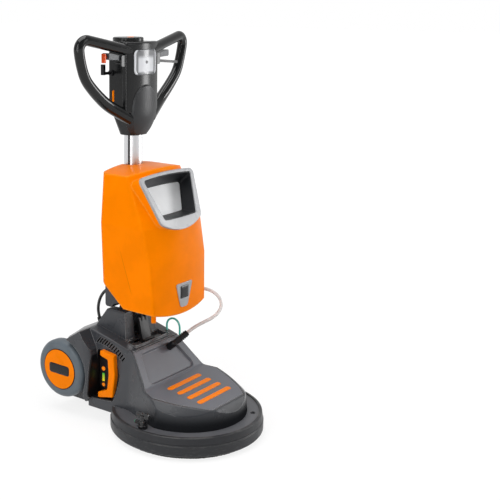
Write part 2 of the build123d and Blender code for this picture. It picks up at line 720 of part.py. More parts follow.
tray = box_part((-TRAY_HALF, TRAY_HALF), TRAY_Y, (TRAY_FLOOR, 300))
tray_skirt = box_part(
    (-TRAY_HALF - WALL, TRAY_HALF + WALL), (TRAY_Y[0] - WALL, TRAY_Y[1] + WALL),
    (TRAY_FLOOR - WALL, TRAY_TOP),
)
with BuildPart() as tray_ribs:
    for side in (-1, 1):
        with BuildSketch(Plane.XY.offset(TRAY_FLOOR)):
            with Locations((side * RIB_X, (TRAY_Y[0] + TRAY_Y[1]) / 2)):
                SlotOverall(*RIB_SIZE)
        extrude(amount=RIB_TALL)
slot_opening = box_part((-SLOT_HALF - 4, SLOT_HALF + 4), SLOT_Y, (200, 300))
yoke_opening = box_part((-YOKE_X[1] - 1, YOKE_X[1] + 1), (YOKE_Y[0] - 2, YOKE_Y[1] + 2), (200, 300))
with BuildPart() as body_shell:
    add(body_form.part)
    add(cavity.part, mode=Mode.SUBTRACT)
    add(lid_ledge.part)
    add(lid_rebate.part, mode=Mode.SUBTRACT)
    add(tray_skirt)
    add(tray, mode=Mode.SUBTRACT)
    add(tray_ribs.part)
    add(slot_opening, mode=Mode.SUBTRACT)
    add(yoke_opening, mode=Mode.SUBTRACT)
    for opening in (arch, arch_tail, arch_foot, pocket_opening, vents.part):
        add(opening, mode=Mode.SUBTRACT)
        add(mirrored(opening), mode=Mode.SUBTRACT)
    add(x_cylinder(AXLE_R + 1, WHEEL_Y, WHEEL_Z, (-140, 140)), mode=Mode.SUBTRACT)
    add(gland_hole.part, mode=Mode.SUBTRACT)
    add(z_cylinder(TEAL_R + 0.8, *TEAL_ROUTE[0][:2], (200, 260)), mode=Mode.SUBTRACT)
keep(body_shell, "body_shell")

# Screens behind the vent slots, hugging the inside of each side wall
with BuildPart() as vent_screens:
    add(side_prism(SCREEN, (60, 160)))
    add(mirrored(side_prism(SCREEN, (60, 160))))
    add(plan_prism(WALL), mode=Mode.INTERSECT)
    add(plan_prism(WALL + 1.5), mode=Mode.SUBTRACT)
    add(profile_prism(WALL), mode=Mode.INTERSECT)
keep(vent_screens, "vent_screens")


def hump_form(inset):
    """One pyramid hump beside the mast slot, drawn in by inset on every side but its foot."""
    foot_x, foot_front, foot_rear = HUMP_FOOT
    crown_x, crown_front, crown_rear = HUMP_CROWN
    with BuildPart() as hump:
        with BuildSketch(Plane.XY.offset(HUMP_LOW)):
            with Locations(((SLOT_HALF + foot_x) / 2, (foot_front + foot_rear) / 2)):
                Rectangle(foot_x - SLOT_HALF - 2 * inset, foot_rear - foot_front - 2 * inset)
        with BuildSketch(Plane.XY.offset(HUMP_TOP - inset)):
            with Locations(((SLOT_HALF + crown_x) / 2, (crown_front + crown_rear) / 2)):
                Rectangle(crown_x - SLOT_HALF - 2 * inset, crown_rear - crown_front - 2 * inset)
        loft(ruled=True)
        if not inset:
            fillet(hump.edges().group_by(Axis.Z)[-1], radius=5)
    return hump.part


# Tower: two hollow humps and the floor of the slot between them
with BuildPart() as tower_seat:
    add(body_form.part)
    add(slot_opening, mode=Mode.SUBTRACT)
with BuildPart() as tower_shroud:
    add(hump_form(0))
    add(hump_form(TOWER_WALL), mode=Mode.SUBTRACT)
    add(mirrored(hump_form(0)))
    add(mirrored(hump_form(TOWER_WALL)), mode=Mode.SUBTRACT)
    add(
        box_part(
            (-SLOT_HALF - TOWER_WALL, SLOT_HALF + TOWER_WALL), (SLOT_Y[0] + 2, SLOT_Y[1] - 2),
            (HUMP_LOW - TOWER_WALL, HUMP_LOW),
        )
    )
    add(tower_seat.part, mode=Mode.SUBTRACT)
    add(x_cylinder(PIN_R + 0.5, *PIVOT, (-PIN_HALF, PIN_HALF)), mode=Mode.SUBTRACT)
keep(tower_shroud, "tower_shroud")

# Steel yoke on the base, and the pin that carries the mast
yoke_plate = box_part(YOKE_X, YOKE_Y, (FLANGE_TOP, YOKE_TOP))
with BuildPart() as mast_yoke:
    add(box_part((-YOKE_FOOT_HALF, YOKE_FOOT_HALF), YOKE_FOOT_Y, (FLANGE_TOP, FLANGE_TOP + YOKE_FOOT_T)))
    add(yoke_plate)
    add(mirrored(yoke_plate))
    add(x_cylinder(PIN_R, *PIVOT, (-PIN_HALF, PIN_HALF)), mode=Mode.SUBTRACT)
keep(mast_yoke, "mast_yoke")

with BuildPart() as pivot_pin:
    add(x_cylinder(PIN_R, *PIVOT, (-PIN_HALF, PIN_HALF)))
    for low in (-YOKE_X[1] - 0.2 - PIN_HEAD_T, YOKE_X[1] + 0.2):
        add(x_cylinder(PIN_R + 3, *PIVOT, (low, low + PIN_HEAD_T)))
keep(pivot_pin, "pivot_pin")

# Black strap and steel stop link in front of the mast foot
with BuildPart() as strap_plate:
    add(side_prism(STRAP, (-STRAP_HALF, STRAP_HALF)))
    for low in LINK_X:
        add(side_prism(LINK, (low, low + LINK_T)))
keep(strap_plate, "strap_plate")


def lens_set(grow):
    """Two round lamps and a bar lamp let into the fascia, each made larger by grow."""
    with BuildPart() as lenses:
        for height, radius in LENSES:
            add(x_cylinder(radius + grow, LENS_Y, height, (FASCIA_X - LENS_SUNK, FASCIA_X + LENS_PROUD)))
        bar_y = (LENS_Y - LENS_BAR_HALF - grow, LENS_Y + LENS_BAR_HALF + grow)
        bar_z = (LENS_BAR_Z[0] - grow, LENS_BAR_Z[1] + grow)
        add(box_part((FASCIA_X - LENS_SUNK, FASCIA_X + LENS_PROUD), bar_y, bar_z))
    return lenses.part


# Side recess liners with their fascias, and the grab handles in front of them
with BuildPart() as pocket_left:
    add(side_prism(POCKET, (POCKET_FLOOR_X, FENDER_X + 1), rounding=POCKET_ROUND, inset=POCKET_GAP))
    add(body_form.part, mode=Mode.INTERSECT)
    hollow_x = (POCKET_FLOOR_X + POCKET_WALL, FENDER_X + 2)
    add(side_prism(POCKET, hollow_x, rounding=POCKET_ROUND, inset=POCKET_WALL), mode=Mode.SUBTRACT)
    fascia_corners = [(FASCIA_Y[0], height) for height in FASCIA_Z]
    fascia_corners += [(FASCIA_Y[1], height) for height in reversed(FASCIA_Z)]
    add(side_prism(fascia_corners, (POCKET_FLOOR_X + 1, FASCIA_X), rounding=6))
    add(lens_set(LENS_GAP), mode=Mode.SUBTRACT)
keep(pocket_left, "pocket_left")

with BuildPart() as pocket_right:
    add(mirrored(pocket_left.part))
keep(pocket_right, "pocket_right")

with BuildPart() as indicator_lenses:
    add(lens_set(0))
    add(mirrored(lens_set(0)))
keep(indicator_lenses, "indicator_lenses")

with BuildPart() as grab_left:
    add(side_prism(GRAB, GRAB_X, rounding=4))
    fillet(grab_left.edges().filter_by_position(Axis.X, GRAB_X[1] - 0.1, GRAB_X[1] + 0.1), radius=3)
    for leg_y, leg_z in GRAB_LEGS:
        add(box_part((POCKET_FLOOR_X + POCKET_WALL, GRAB_X[0] + 1), leg_y, leg_z))
keep(grab_left, "grab_left")

with BuildPart() as grab_right:
    add(mirrored(grab_left.part))
keep(grab_right, "grab_right")

# Axle, wheels and their caps
with BuildPart() as axle:
    add(x_cylinder(AXLE_R, WHEEL_Y, WHEEL_Z, (-AXLE_HALF, AXLE_HALF)))
    for low in (-ARCH_X - 4.5, ARCH_X + 0.5):
        add(x_cylinder(AXLE_R + 4, WHEEL_Y, WHEEL_Z, (low, low + 4)))
keep(axle, "axle")

wheel_plane = Plane(origin=(0, WHEEL_Y, WHEEL_Z), x_dir=(1, 0, 0), z_dir=(0, -1, 0))
wheel_axis = Axis((0, WHEEL_Y, WHEEL_Z), (1, 0, 0))
with BuildPart() as wheel_left:
    with BuildSketch(wheel_plane) as wheel_section:
        with BuildLine():
            Polyline(
                (WHEEL_X[0], AXLE_R + RUNNING_GAP), (WHEEL_X[0], WHEEL_R), (WHEEL_X[1], WHEEL_R),
                (WHEEL_X[1], CAP_R + 0.4), (WHEEL_X[1] - 4, CAP_R + 0.4),
                (WHEEL_X[1] - 4, AXLE_R + RUNNING_GAP), close=True,
            )
        make_face()
        fillet(wheel_section.vertices().sort_by_distance((WHEEL_X[0], WHEEL_R))[0], radius=12)
        fillet(wheel_section.vertices().sort_by_distance((WHEEL_X[1], WHEEL_R))[0], radius=15)
    revolve(axis=wheel_axis)
keep(wheel_left, "wheel_left")

with BuildPart() as cap_left:
    add(x_cylinder(CAP_R, WHEEL_Y, WHEEL_Z, (WHEEL_X[1] - 4, WHEEL_X[1] + 1)))
    fillet(cap_left.edges().sort_by(Axis.X)[-1], radius=1.5)
keep(cap_left, "cap_left")

with BuildPart() as wheel_right:
    add(mirrored(wheel_left.part))
keep(wheel_right, "wheel_right")

with BuildPart() as cap_right:
    add(mirrored(cap_left.part))
keep(cap_right, "cap_right")

# Pad drive: pad, driver plate, shaft, bearings and the large pulley
with BuildPart() as pad:
    add(z_cylinder(PAD_R, 0, 0, (0, PAD_T)))
    fillet(pad.edges(), radius=2)
keep(pad, "pad")

with BuildPart() as pad_driver:
    add(z_cylinder(DRIVER_R, 0, 0, (PAD_T, DRIVER_TOP)))
    add(z_cylinder(DRIVER_HUB_R, 0, 0, (DRIVER_TOP, DRIVER_HUB_TOP)))
    add(z_cylinder(SHAFT_R, 0, 0, (PAD_T + 4, DRIVER_HUB_TOP)), mode=Mode.SUBTRACT)
keep(pad_driver, "pad_driver")

with BuildPart() as drive_shaft:
    add(z_cylinder(SHAFT_R, 0, 0, (PAD_T + 4, SHAFT_TOP)))
keep(drive_shaft, "drive_shaft")

with BuildPart() as shaft_bearings:
    for low in BEARING_Z:
        with BuildSketch(Plane.XY.offset(low)):
            Circle(BEARING_R)
            Circle(SHAFT_R + RUNNING_GAP, mode=Mode.SUBTRACT)
        extrude(amount=BEARING_T)
keep(shaft_bearings, "shaft_bearings")

with BuildPart() as driven_pulley:
    with BuildSketch(Plane.XY.offset(BELT_Z[0] - 1)):
        Circle(PULLEY_R)
        Circle(PULLEY_R - PULLEY_RIM, mode=Mode.SUBTRACT)
    extrude(amount=BELT_Z[1] - BELT_Z[0] + 2)
    add(z_cylinder(PULLEY_R - PULLEY_RIM / 2, 0, 0, (BELT_Z[0] + 5, BELT_Z[1] - 5)))
    add(z_cylinder(SHAFT_R + 10, 0, 0, (BELT_Z[0] - 2, BELT_Z[1] + 3)))
    add(z_cylinder(SHAFT_R, 0, 0, (0, 200)), mode=Mode.SUBTRACT)
    with BuildSketch(Plane.XY.offset(BELT_Z[0])):
        with PolarLocations(*PULLEY_HOLES):
            Circle(PULLEY_HOLE_R)
    extrude(amount=20, mode=Mode.SUBTRACT)
keep(driven_pulley, "driven_pulley")

with BuildPart() as drive_belt:
    with BuildSketch(Plane.XY.offset(BELT_Z[0])):
        Circle(PULLEY_R + BELT_GAP + BELT_T)
        with Locations((0, MOTOR_Y)):
            Circle(MOTOR_PULLEY_R + BELT_GAP + BELT_T)
        make_hull()
    extrude(amount=BELT_Z[1] - BELT_Z[0])
    with BuildSketch(Plane.XY.offset(BELT_Z[0])):
        Circle(PULLEY_R + BELT_GAP)
        with Locations((0, MOTOR_Y)):
            Circle(MOTOR_PULLEY_R + BELT_GAP)
        make_hull()
    extrude(amount=BELT_Z[1] - BELT_Z[0], mode=Mode.SUBTRACT)
keep(drive_belt, "drive_belt")

# Motor behind the disc: housing on four posts, stator, rotor and small pulley
with BuildPart() as motor_housing:
    plate_z = (MOTOR_LOW, MOTOR_LOW + MOTOR_PLATE_T)
    add(box_part((-MOTOR_PLATE_HALF, MOTOR_PLATE_HALF), MOTOR_PLATE_Y, plate_z))
    for post_x in (-MOTOR_POST_X, MOTOR_POST_X):
        for post_y in MOTOR_POST_Y:
            add(z_cylinder(MOTOR_POST_R, post_x, post_y, (FLANGE_TOP, MOTOR_LOW)))
    add(z_cylinder(MOTOR_R, 0, MOTOR_Y, (MOTOR_LOW, MOTOR_TOP)))
    add(z_cylinder(BELL_R, 0, MOTOR_Y, (MOTOR_TOP, MOTOR_TOP + BELL_TALL)))
    inner_z = (MOTOR_LOW + MOTOR_PLATE_T, MOTOR_TOP - MOTOR_WALL)
    add(z_cylinder(MOTOR_R - MOTOR_WALL, 0, MOTOR_Y, inner_z), mode=Mode.SUBTRACT)
    bore_z = (MOTOR_LOW - 1, MOTOR_TOP + BELL_TALL - 5)
    add(z_cylinder(MOTOR_SHAFT_R + RUNNING_GAP, 0, MOTOR_Y, bore_z), mode=Mode.SUBTRACT)
keep(motor_housing, "motor_housing")

with BuildPart() as motor_stator:
    with BuildSketch(Plane.XY.offset(STATOR_LOW)):
        with Locations((0, MOTOR_Y)):
            Circle(MOTOR_R - MOTOR_WALL)
            Circle(STATOR_BORE_R, mode=Mode.SUBTRACT)
    extrude(amount=STATOR_TALL)
keep(motor_stator, "motor_stator")

with BuildPart() as motor_rotor:
    add(z_cylinder(STATOR_BORE_R - AIR_GAP, 0, MOTOR_Y, (STATOR_LOW, STATOR_LOW + STATOR_TALL)))
    add(z_cylinder(MOTOR_SHAFT_R, 0, MOTOR_Y, (BELT_Z[0] - 3, MOTOR_TOP + BELL_TALL - 6)))
keep(motor_rotor, "motor_rotor")

with BuildPart() as motor_pulley:
    add(z_cylinder(MOTOR_PULLEY_R, 0, MOTOR_Y, (BELT_Z[0] - 1, BELT_Z[1] + 1)))
    add(z_cylinder(MOTOR_SHAFT_R, 0, MOTOR_Y, (0, 200)), mode=Mode.SUBTRACT)
keep(motor_pulley, "motor_pulley")

with BuildPart() as control_box:
    add(box_part((-CONTROL_HALF, CONTROL_HALF), CONTROL_Y, (FLANGE_TOP, CONTROL_TOP)))
    fillet(control_box.edges().filter_by(Axis.Z), radius=5)
keep(control_box, "control_box")


def bend_radii(points, share=0.45):
    """Corner radii of a route: each bend takes the same share of its shorter run."""
    places = [Vector(*point) for point in points]
    radii = []
    for before, corner, after in zip(places, places[1:], places[2:]):
        turn = radians((corner - before).get_angle(after - corner))
        shorter = min((corner - before).length, (after - corner).length)
        radii.append(share * shorter / tan(turn / 2))
    return radii


def tube(points, radii, radius, end_radius=None):
    """A round bar along straight runs joined by tangent arcs, which may grow to another end radius."""
    start, end = Vector(*points[0]), Vector(*points[-1])
    with BuildPart() as bar:
        with BuildLine():
            route = FilletPolyline(*points, radius=radii)
        with BuildSketch(Plane(origin=start, z_dir=Vector(*points[1]) - start)):
            Circle(radius)
        if end_radius:
            with BuildSketch(Plane(origin=end, z_dir=end - Vector(*points[-2]))):
                Circle(end_radius)
        sweep(multisection=bool(end_radius))
    return bar.part, route.length


def cord(points, radius, name):
    """A cord along a route, with its bends and its volume printed for checking."""
    radii = bend_radii(points)
    solid, length = tube(points, radii, radius)
    print(name, "length", round(length, 1), "least bend", round(min(radii), 1),
          "volume share", round(solid.volume / (pi * radius ** 2 * length), 4))
    return solid


# Mast foot: bracket on the pin, clamp bar across it, and the tube itself
with BuildPart() as foot_bracket:
    with BuildSketch(Plane.YZ.offset(-FOOT_HALF)):
        with Locations(PIVOT):
            Circle(FOOT_EYE_R)
        with Locations(((FOOT_BLOCK_Y[0] + FOOT_BLOCK_Y[1]) / 2, (FOOT_BLOCK_LOW + MAST_LOW) / 2)):
            Rectangle(FOOT_BLOCK_Y[1] - FOOT_BLOCK_Y[0], MAST_LOW - FOOT_BLOCK_LOW)
        make_hull()
    extrude(amount=2 * FOOT_HALF)
    add(z_cylinder(MAST_BORE_R, 0, MAST_Y, (MAST_LOW, MAST_LOW + FOOT_PLUG)))
    for low in LUG_X:
        add(side_prism(LUG, (low, low + LUG_T)))
    add(x_cylinder(PIN_R + RUNNING_GAP, *PIVOT, (-PIN_HALF, PIN_HALF)), mode=Mode.SUBTRACT)
    add(x_cylinder(CLAMP_R + RUNNING_GAP, *CLAMP, (-PIN_HALF, PIN_HALF)), mode=Mode.SUBTRACT)
keep(foot_bracket, "foot_bracket")

with BuildPart() as clamp_lever:
    add(x_cylinder(CLAMP_R, *CLAMP, CLAMP_X))
    add(x_cylinder(CLAMP_R + 3, *CLAMP, (CLAMP_X[0], CLAMP_X[0] + 9)))
    with BuildSketch(Plane.XY.offset(CLAMP[1] - SPOON_T / 2)):
        with Locations((SPOON_X, CLAMP[0])):
            SlotOverall(*SPOON_SIZE)
    extrude(amount=SPOON_T)
keep(clamp_lever, "clamp_lever")

with BuildPart() as mast_tube:
    with BuildSketch(Plane.XY.offset(MAST_LOW)):
        with Locations((0, MAST_Y)):
            Circle(MAST_R)
            Circle(MAST_BORE_R, mode=Mode.SUBTRACT)
        for side in (-1, 1):
            bearing = radians(MAST_GROOVE_AZIMUTH)
            with Locations((side * MAST_R * sin(bearing), MAST_Y - MAST_R * cos(bearing))):
                Circle(MAST_GROOVE_R, mode=Mode.SUBTRACT)
    extrude(amount=MAST_HIGH - MAST_LOW)
keep(mast_tube, "mast_tube")


def tank_form(inset):
    """The tank's filled outer form, drawn in by inset: sloped front, crowned top, chamfered rear foot."""
    sections = list(zip(TANK_HEIGHTS, TANK_HALVES, TANK_SIDE_Y, TANK_FRONT_Y))
    rear = TANK_REAR - inset
    with BuildPart() as form:
        for lower, upper in zip(sections, sections[1:]):
            for height, widest, side_y, front_y in (lower, upper):
                half = widest - inset
                side = side_y + inset
                with BuildSketch(Plane.XY.offset(height)) as section:
                    with BuildLine():
                        ThreePointArc((-half, side), (0, front_y + inset), (half, side))
                        Polyline((half, side), (half, rear), (-half, rear), (-half, side))
                    make_face()
                    for corner in ((-half, rear), (half, rear)):
                        fillet(section.vertices().sort_by_distance(corner)[0], radius=TANK_REAR_ROUND)
                    for corner in ((-half, side), (half, side)):
                        fillet(section.vertices().sort_by_distance(corner)[0], radius=TANK_FRONT_ROUND)
            loft(ruled=True)
        with BuildSketch(Plane.XZ):
            with BuildLine():
                low_side, low_mid = TANK_BOTTOM
                top_side, top_mid = TANK_CROWN
                half = TANK_WIDEST
                ThreePointArc((-half, low_side + inset), (0, low_mid + inset), (half, low_side + inset))
                Line((half, low_side + inset), (half, top_side - inset))
                ThreePointArc((half, top_side - inset), (0, top_mid - inset), (-half, top_side - inset))
                Line((-half, top_side - inset), (-half, low_side + inset))
            make_face()
        extrude(amount=-400, mode=Mode.INTERSECT)
        (near_y, near_z), (far_y, far_z) = TANK_CHAMFER
        slope = (far_z - near_z) / (far_y - near_y)
        reach = 60
        lift = 1.35 * inset
        with BuildSketch(Plane.YZ):
            with BuildLine():
                Polyline(
                    (near_y, near_z + lift), (far_y + reach, far_z + lift + slope * reach),
                    (far_y + reach, 200), (near_y, 200), close=True,
                )
            make_face()
        extrude(amount=200, both=True, mode=Mode.SUBTRACT)
    return form.part


# Tank bracket under the chamfer, clamped round the mast, with a slot over the mast foot
foot_slot_half = FOOT_HALF + FOOT_GAP
bracket_foot = BRACKET[-3]
foot_slot_y = (BRACKET[-1][0], bracket_foot[0] + FOOT_GAP)
with BuildPart() as tank_bracket:
    add(side_prism(BRACKET, (-BRACKET_HALF, BRACKET_HALF)))
    fillet(tank_bracket.edges().filter_by(Axis.X).sort_by(Axis.Y)[-2:], radius=8)
    add(box_part((-foot_slot_half, foot_slot_half), foot_slot_y, (bracket_foot[1], MAST_LOW + FOOT_GAP)),
        mode=Mode.SUBTRACT)
    add(z_cylinder(MAST_R, 0, MAST_Y, (MAST_LOW - WALL, HEAD_LOW)), mode=Mode.SUBTRACT)
    add(tank_form(0), mode=Mode.SUBTRACT)
keep(tank_bracket, "tank_bracket")

bezel_plane = Plane(origin=(0, *BEZEL_FOOT), x_dir=(1, 0, 0), z_dir=(0, -BEZEL_UP[1], BEZEL_UP[0]))


def bezel_outline(plane, outline, fillets):
    """A face in the bezel plane: arched top, straight sides, arched foot."""
    (top_x, top_u, crown_u), (foot_x, foot_u, dip_u) = outline
    with BuildSketch(plane) as face:
        with BuildLine():
            ThreePointArc((-top_x, top_u), (0, crown_u), (top_x, top_u))
            Line((top_x, top_u), (foot_x, foot_u))
            ThreePointArc((foot_x, foot_u), (0, dip_u), (-foot_x, foot_u))
            Line((-foot_x, foot_u), (-top_x, top_u))
        make_face()
        for corner_x, corner_u, radius in ((top_x, top_u, fillets[0]), (foot_x, foot_u, fillets[1])):
            for side in (-1, 1):
                fillet(face.vertices().sort_by_distance((side * corner_x, corner_u))[0], radius=radius)
    return face.sketch


def hopper_cone(inset):
    """The hopper's tapering recess behind the bezel, drawn in by inset."""
    mouth, floor = HOPPER_MOUTH, HOPPER_FLOOR
    with BuildPart() as cone:
        for (outline, depth) in ((mouth, 0.0), (floor, HOPPER_DEPTH)):
            (top_x, top_u, crown_u), (foot_x, foot_u, dip_u) = outline
            shrunk = (
                (top_x - inset, top_u - inset, crown_u - inset),
                (foot_x - inset, foot_u + inset, dip_u + inset),
            )
            add(bezel_outline(bezel_plane.offset(-depth), shrunk, HOPPER_FILLETS))
        loft(ruled=True)
    return cone.part


hood_face = bezel_outline(bezel_plane.offset(-BEZEL_T / 2), BEZEL_OUTER, BEZEL_FILLETS)
with BuildPart() as hood:
    add(hood_face)
    extrude(amount=-HOOD_DEEP, dir=bezel_plane.z_dir)
with BuildPart() as bezel_seat:
    add(hood_face)
    extrude(amount=HOPPER_DEPTH, dir=bezel_plane.z_dir)
hopper_space = hopper_cone(0)
channel = z_cylinder(CHANNEL_R, 0, MAST_Y, (280, 780))
channel_mouth = box_part((-CHANNEL_R, CHANNEL_R), (MAST_Y, 240), (280, 780))
channel_wall = z_cylinder(CHANNEL_R + TANK_WALL, 0, MAST_Y, (280, 780))
with BuildPart() as hopper_back_wall:
    add(bezel_outline(bezel_plane.offset(4), HOPPER_MOUTH, HOPPER_FILLETS))
    extrude(amount=-HOPPER_DEPTH - TANK_WALL - 4, dir=bezel_plane.z_dir)
with BuildPart() as tank_void:
    add(tank_form(TANK_WALL))
    add(hopper_back_wall.part, mode=Mode.SUBTRACT)
    add(channel_wall, mode=Mode.SUBTRACT)

port_plane = Plane(origin=HOSE_ROUTE[0], z_dir=Vector(*HOSE_ROUTE[1]) - Vector(*HOSE_ROUTE[0]))
with BuildPart() as port:
    with BuildSketch(port_plane):
        Circle(HOSE_R + 3)
    extrude(amount=-PORT_LONG)
with BuildPart() as tank_shell:
    add(tank_form(0))
    add(hood.part)
    add(bezel_seat.part, mode=Mode.SUBTRACT)
    add(tank_void.part, mode=Mode.SUBTRACT)
    add(hopper_space, mode=Mode.SUBTRACT)
    add(channel, mode=Mode.SUBTRACT)
    add(channel_mouth, mode=Mode.SUBTRACT)
    add(port.part)
    add(z_cylinder(SPIGOT_R, *SPIGOT, SPIGOT_Z))
keep(tank_shell, "tank_shell")

with BuildPart() as hopper_liner:
    add(hopper_space)
    add(hopper_cone(LINER_T), mode=Mode.SUBTRACT)
keep(hopper_liner, "hopper_liner")

with BuildPart() as hopper_back:
    add(bezel_outline(bezel_plane.offset(-HOPPER_DEPTH), BEZEL_OUTER, BEZEL_FILLETS))
    extrude(amount=LINER_T, dir=bezel_plane.z_dir)
    add(hopper_cone(LINER_T), mode=Mode.INTERSECT)
keep(hopper_back, "hopper_back")

bezel_window = bezel_outline(bezel_plane.offset(-BEZEL_T), HOPPER_MOUTH, HOPPER_FILLETS)
with BuildPart() as bezel:
    add(hood_face)
    extrude(amount=BEZEL_T, dir=bezel_plane.z_dir)
    fillet(bezel.faces().sort_by(Axis(bezel_plane.origin, bezel_plane.z_dir))[-1].edges(), radius=2)
    add(bezel_window)
    extrude(amount=2 * BEZEL_T, dir=bezel_plane.z_dir, mode=Mode.SUBTRACT)
keep(bezel, "bezel")

with BuildPart() as badge:
    with BuildSketch(Plane.XZ.offset(-BADGE_Y[1])) as badge_face:
        with BuildLine():
            Polyline(
                (-BADGE_HALF[0], BADGE_Z[1]), (BADGE_HALF[0], BADGE_Z[1]), (BADGE_HALF[1], BADGE_Z[0]),
                (-BADGE_HALF[1], BADGE_Z[0]), close=True,
            )
        make_face()
        fillet(badge_face.vertices().sort_by(Axis.Y)[:2], radius=11)
        fillet(badge_face.vertices().sort_by(Axis.Y)[-2:], radius=5)
    extrude(amount=BADGE_Y[1] - BADGE_Y[0])
    add(tank_form(0), mode=Mode.SUBTRACT)
keep(badge, "badge")


def head_plan(inset):
    """The handle head's plan: a bowed front and two straight sides."""
    half = HEAD_HALF - inset
    with BuildSketch() as plan:
        with BuildLine():
            ThreePointArc((-half, HEAD_SIDE_Y), (0, HEAD_FRONT + inset), (half, HEAD_SIDE_Y))
            Polyline((half, HEAD_SIDE_Y), (half, HEAD_SPLIT), (-half, HEAD_SPLIT), (-half, HEAD_SIDE_Y))
        make_face()
        for corner in ((-half, HEAD_SIDE_Y), (half, HEAD_SIDE_Y)):
            fillet(plan.vertices().sort_by_distance(corner)[0], radius=HEAD_CORNER)
    return plan.sketch


# Handle head: bowed front cover with the lever pins, and the rear box with the round top cap
with BuildPart() as head_cover:
    with BuildSketch(Plane.XY.offset(HEAD_LOW)):
        add(head_plan(0))
    extrude(amount=HEAD_TOP - HEAD_LOW)
    fillet(head_cover.faces().sort_by(Axis.Z)[-1].edges().sort_by(Axis.Y)[0], radius=6)
with BuildPart() as head_box:
    add(box_part((-HEAD_REAR_HALF, HEAD_REAR_HALF), (HEAD_SPLIT, HEAD_REAR), (HEAD_LOW, HEAD_TOP)))
    fillet(head_box.edges().filter_by(Axis.Z).sort_by(Axis.Y)[-2:], radius=10)
with BuildPart() as ears:
    for side in (-1, 1):
        with BuildSketch(Plane.XZ.offset(-EAR_Y[1])):
            with Locations((side * EAR_PLACE[0], EAR_PLACE[1])):
                RectangleRounded(*EAR_SIZE, 5)
        extrude(amount=EAR_Y[1] - EAR_Y[0])
        for pin_x, pin_z in (TRIGGER_PIVOT, RELEASE_PIVOT):
            with BuildSketch(Plane.XZ.offset(-TRIGGER_Y[1])):
                with Locations((side * pin_x, pin_z)):
                    Circle(LEVER_PIN_R)
            extrude(amount=TRIGGER_Y[1] - EAR_Y[1])
with BuildPart() as head_front:
    add(head_cover.part)
    add(ears.part)
    with BuildSketch(Plane.XY.offset(HEAD_LOW + HEAD_WALL)):
        add(head_plan(HEAD_WALL))
    extrude(amount=HEAD_TOP - HEAD_LOW - 2 * HEAD_WALL, mode=Mode.SUBTRACT)
keep(head_front, "head_front")

with BuildPart() as head_rear:
    add(head_box.part)
    add(
        box_part(
            (-HEAD_REAR_HALF + HEAD_WALL, HEAD_REAR_HALF - HEAD_WALL), (HEAD_SPLIT, HEAD_REAR - HEAD_WALL),
            (HEAD_LOW + HEAD_WALL, HEAD_TOP - HEAD_WALL),
        ),
        mode=Mode.SUBTRACT,
    )
    add(z_cylinder(TOP_CAP_R, 0, TOP_CAP_Y, (HEAD_TOP, HEAD_TOP + TOP_CAP_T)))
    fillet(head_rear.edges().sort_by(Axis.Z)[-1], radius=4)
    add(x_cylinder(HOOK_R + RUNNING_GAP, *HOOK_PIVOT, (-HOOK_X, HOOK_X)), mode=Mode.SUBTRACT)
keep(head_rear, "head_rear")

# Neck under the head, round the top of the mast
with BuildPart() as neck_collar:
    for height, half_width, front_y, rear_y, rounding in NECK_SECTIONS:
        with BuildSketch(Plane.XY.offset(height)):
            with Locations((0, (front_y + rear_y) / 2)):
                RectangleRounded(2 * half_width, rear_y - front_y, rounding)
    loft(ruled=True)
    add(z_cylinder(MAST_R, 0, MAST_Y, (MAST_LOW, HEAD_LOW)), mode=Mode.SUBTRACT)
keep(neck_collar, "neck_collar")

# Boss on the front of head and neck: the bowed plan swept down a bent line, within a tapering oval
boss_top = BOSS_Z + BOSS_FACE[1] + BOSS_TAPER
boss_front = HEAD_FRONT - BOSS_PROUD
with BuildPart() as boss_oval:
    for oval_y, growth in ((boss_front - BOSS_LEAD, 0.0), (HEAD_SPLIT, BOSS_TAPER)):
        with BuildSketch(Plane.XZ.offset(-oval_y)):
            with Locations((0, BOSS_Z)):
                Ellipse(BOSS_FACE[0] + growth, BOSS_FACE[1] + growth)
    loft()
with BuildPart() as boss_cover:
    with BuildLine(Plane.YZ):
        FilletPolyline((boss_front, boss_top), (boss_front, BOSS_BEND_Z), BOSS_FOOT, radius=BOSS_BEND_R)
    with BuildSketch(Plane.XY.offset(boss_top)):
        add(head_plan(-BOSS_PROUD))
    sweep()
    add(boss_oval.part, mode=Mode.INTERSECT)
    for neighbour in (head_cover.part, neck_collar.part):
        add(neighbour, mode=Mode.SUBTRACT)
    add(z_cylinder(MAST_R, 0, MAST_Y, (MAST_LOW, HEAD_LOW)), mode=Mode.SUBTRACT)
keep(boss_cover, "boss_cover")

with BuildPart() as window_plate:
    window_mid = (WINDOW_Z[0] + WINDOW_Z[1]) / 2
    with BuildSketch(Plane.XY.offset(HEAD_LOW)):
        add(head_plan(-WINDOW_T))
    extrude(amount=HEAD_TOP - HEAD_LOW)
    with BuildSketch(Plane.XZ.offset(-HEAD_SIDE_Y)):
        with Locations((0, window_mid)):
            RectangleRounded(2 * WINDOW_HALF, WINDOW_Z[1] - WINDOW_Z[0], 8)
    extrude(amount=HEAD_SIDE_Y, mode=Mode.INTERSECT)
    with BuildSketch(Plane.XZ.offset(-HEAD_FRONT)):
        with Locations((0, window_mid)):
            Circle(WINDOW_SCREW_R)
    extrude(amount=WINDOW_T + WINDOW_SCREW_TALL)
    add(head_cover.part, mode=Mode.SUBTRACT)
keep(window_plate, "window_plate")

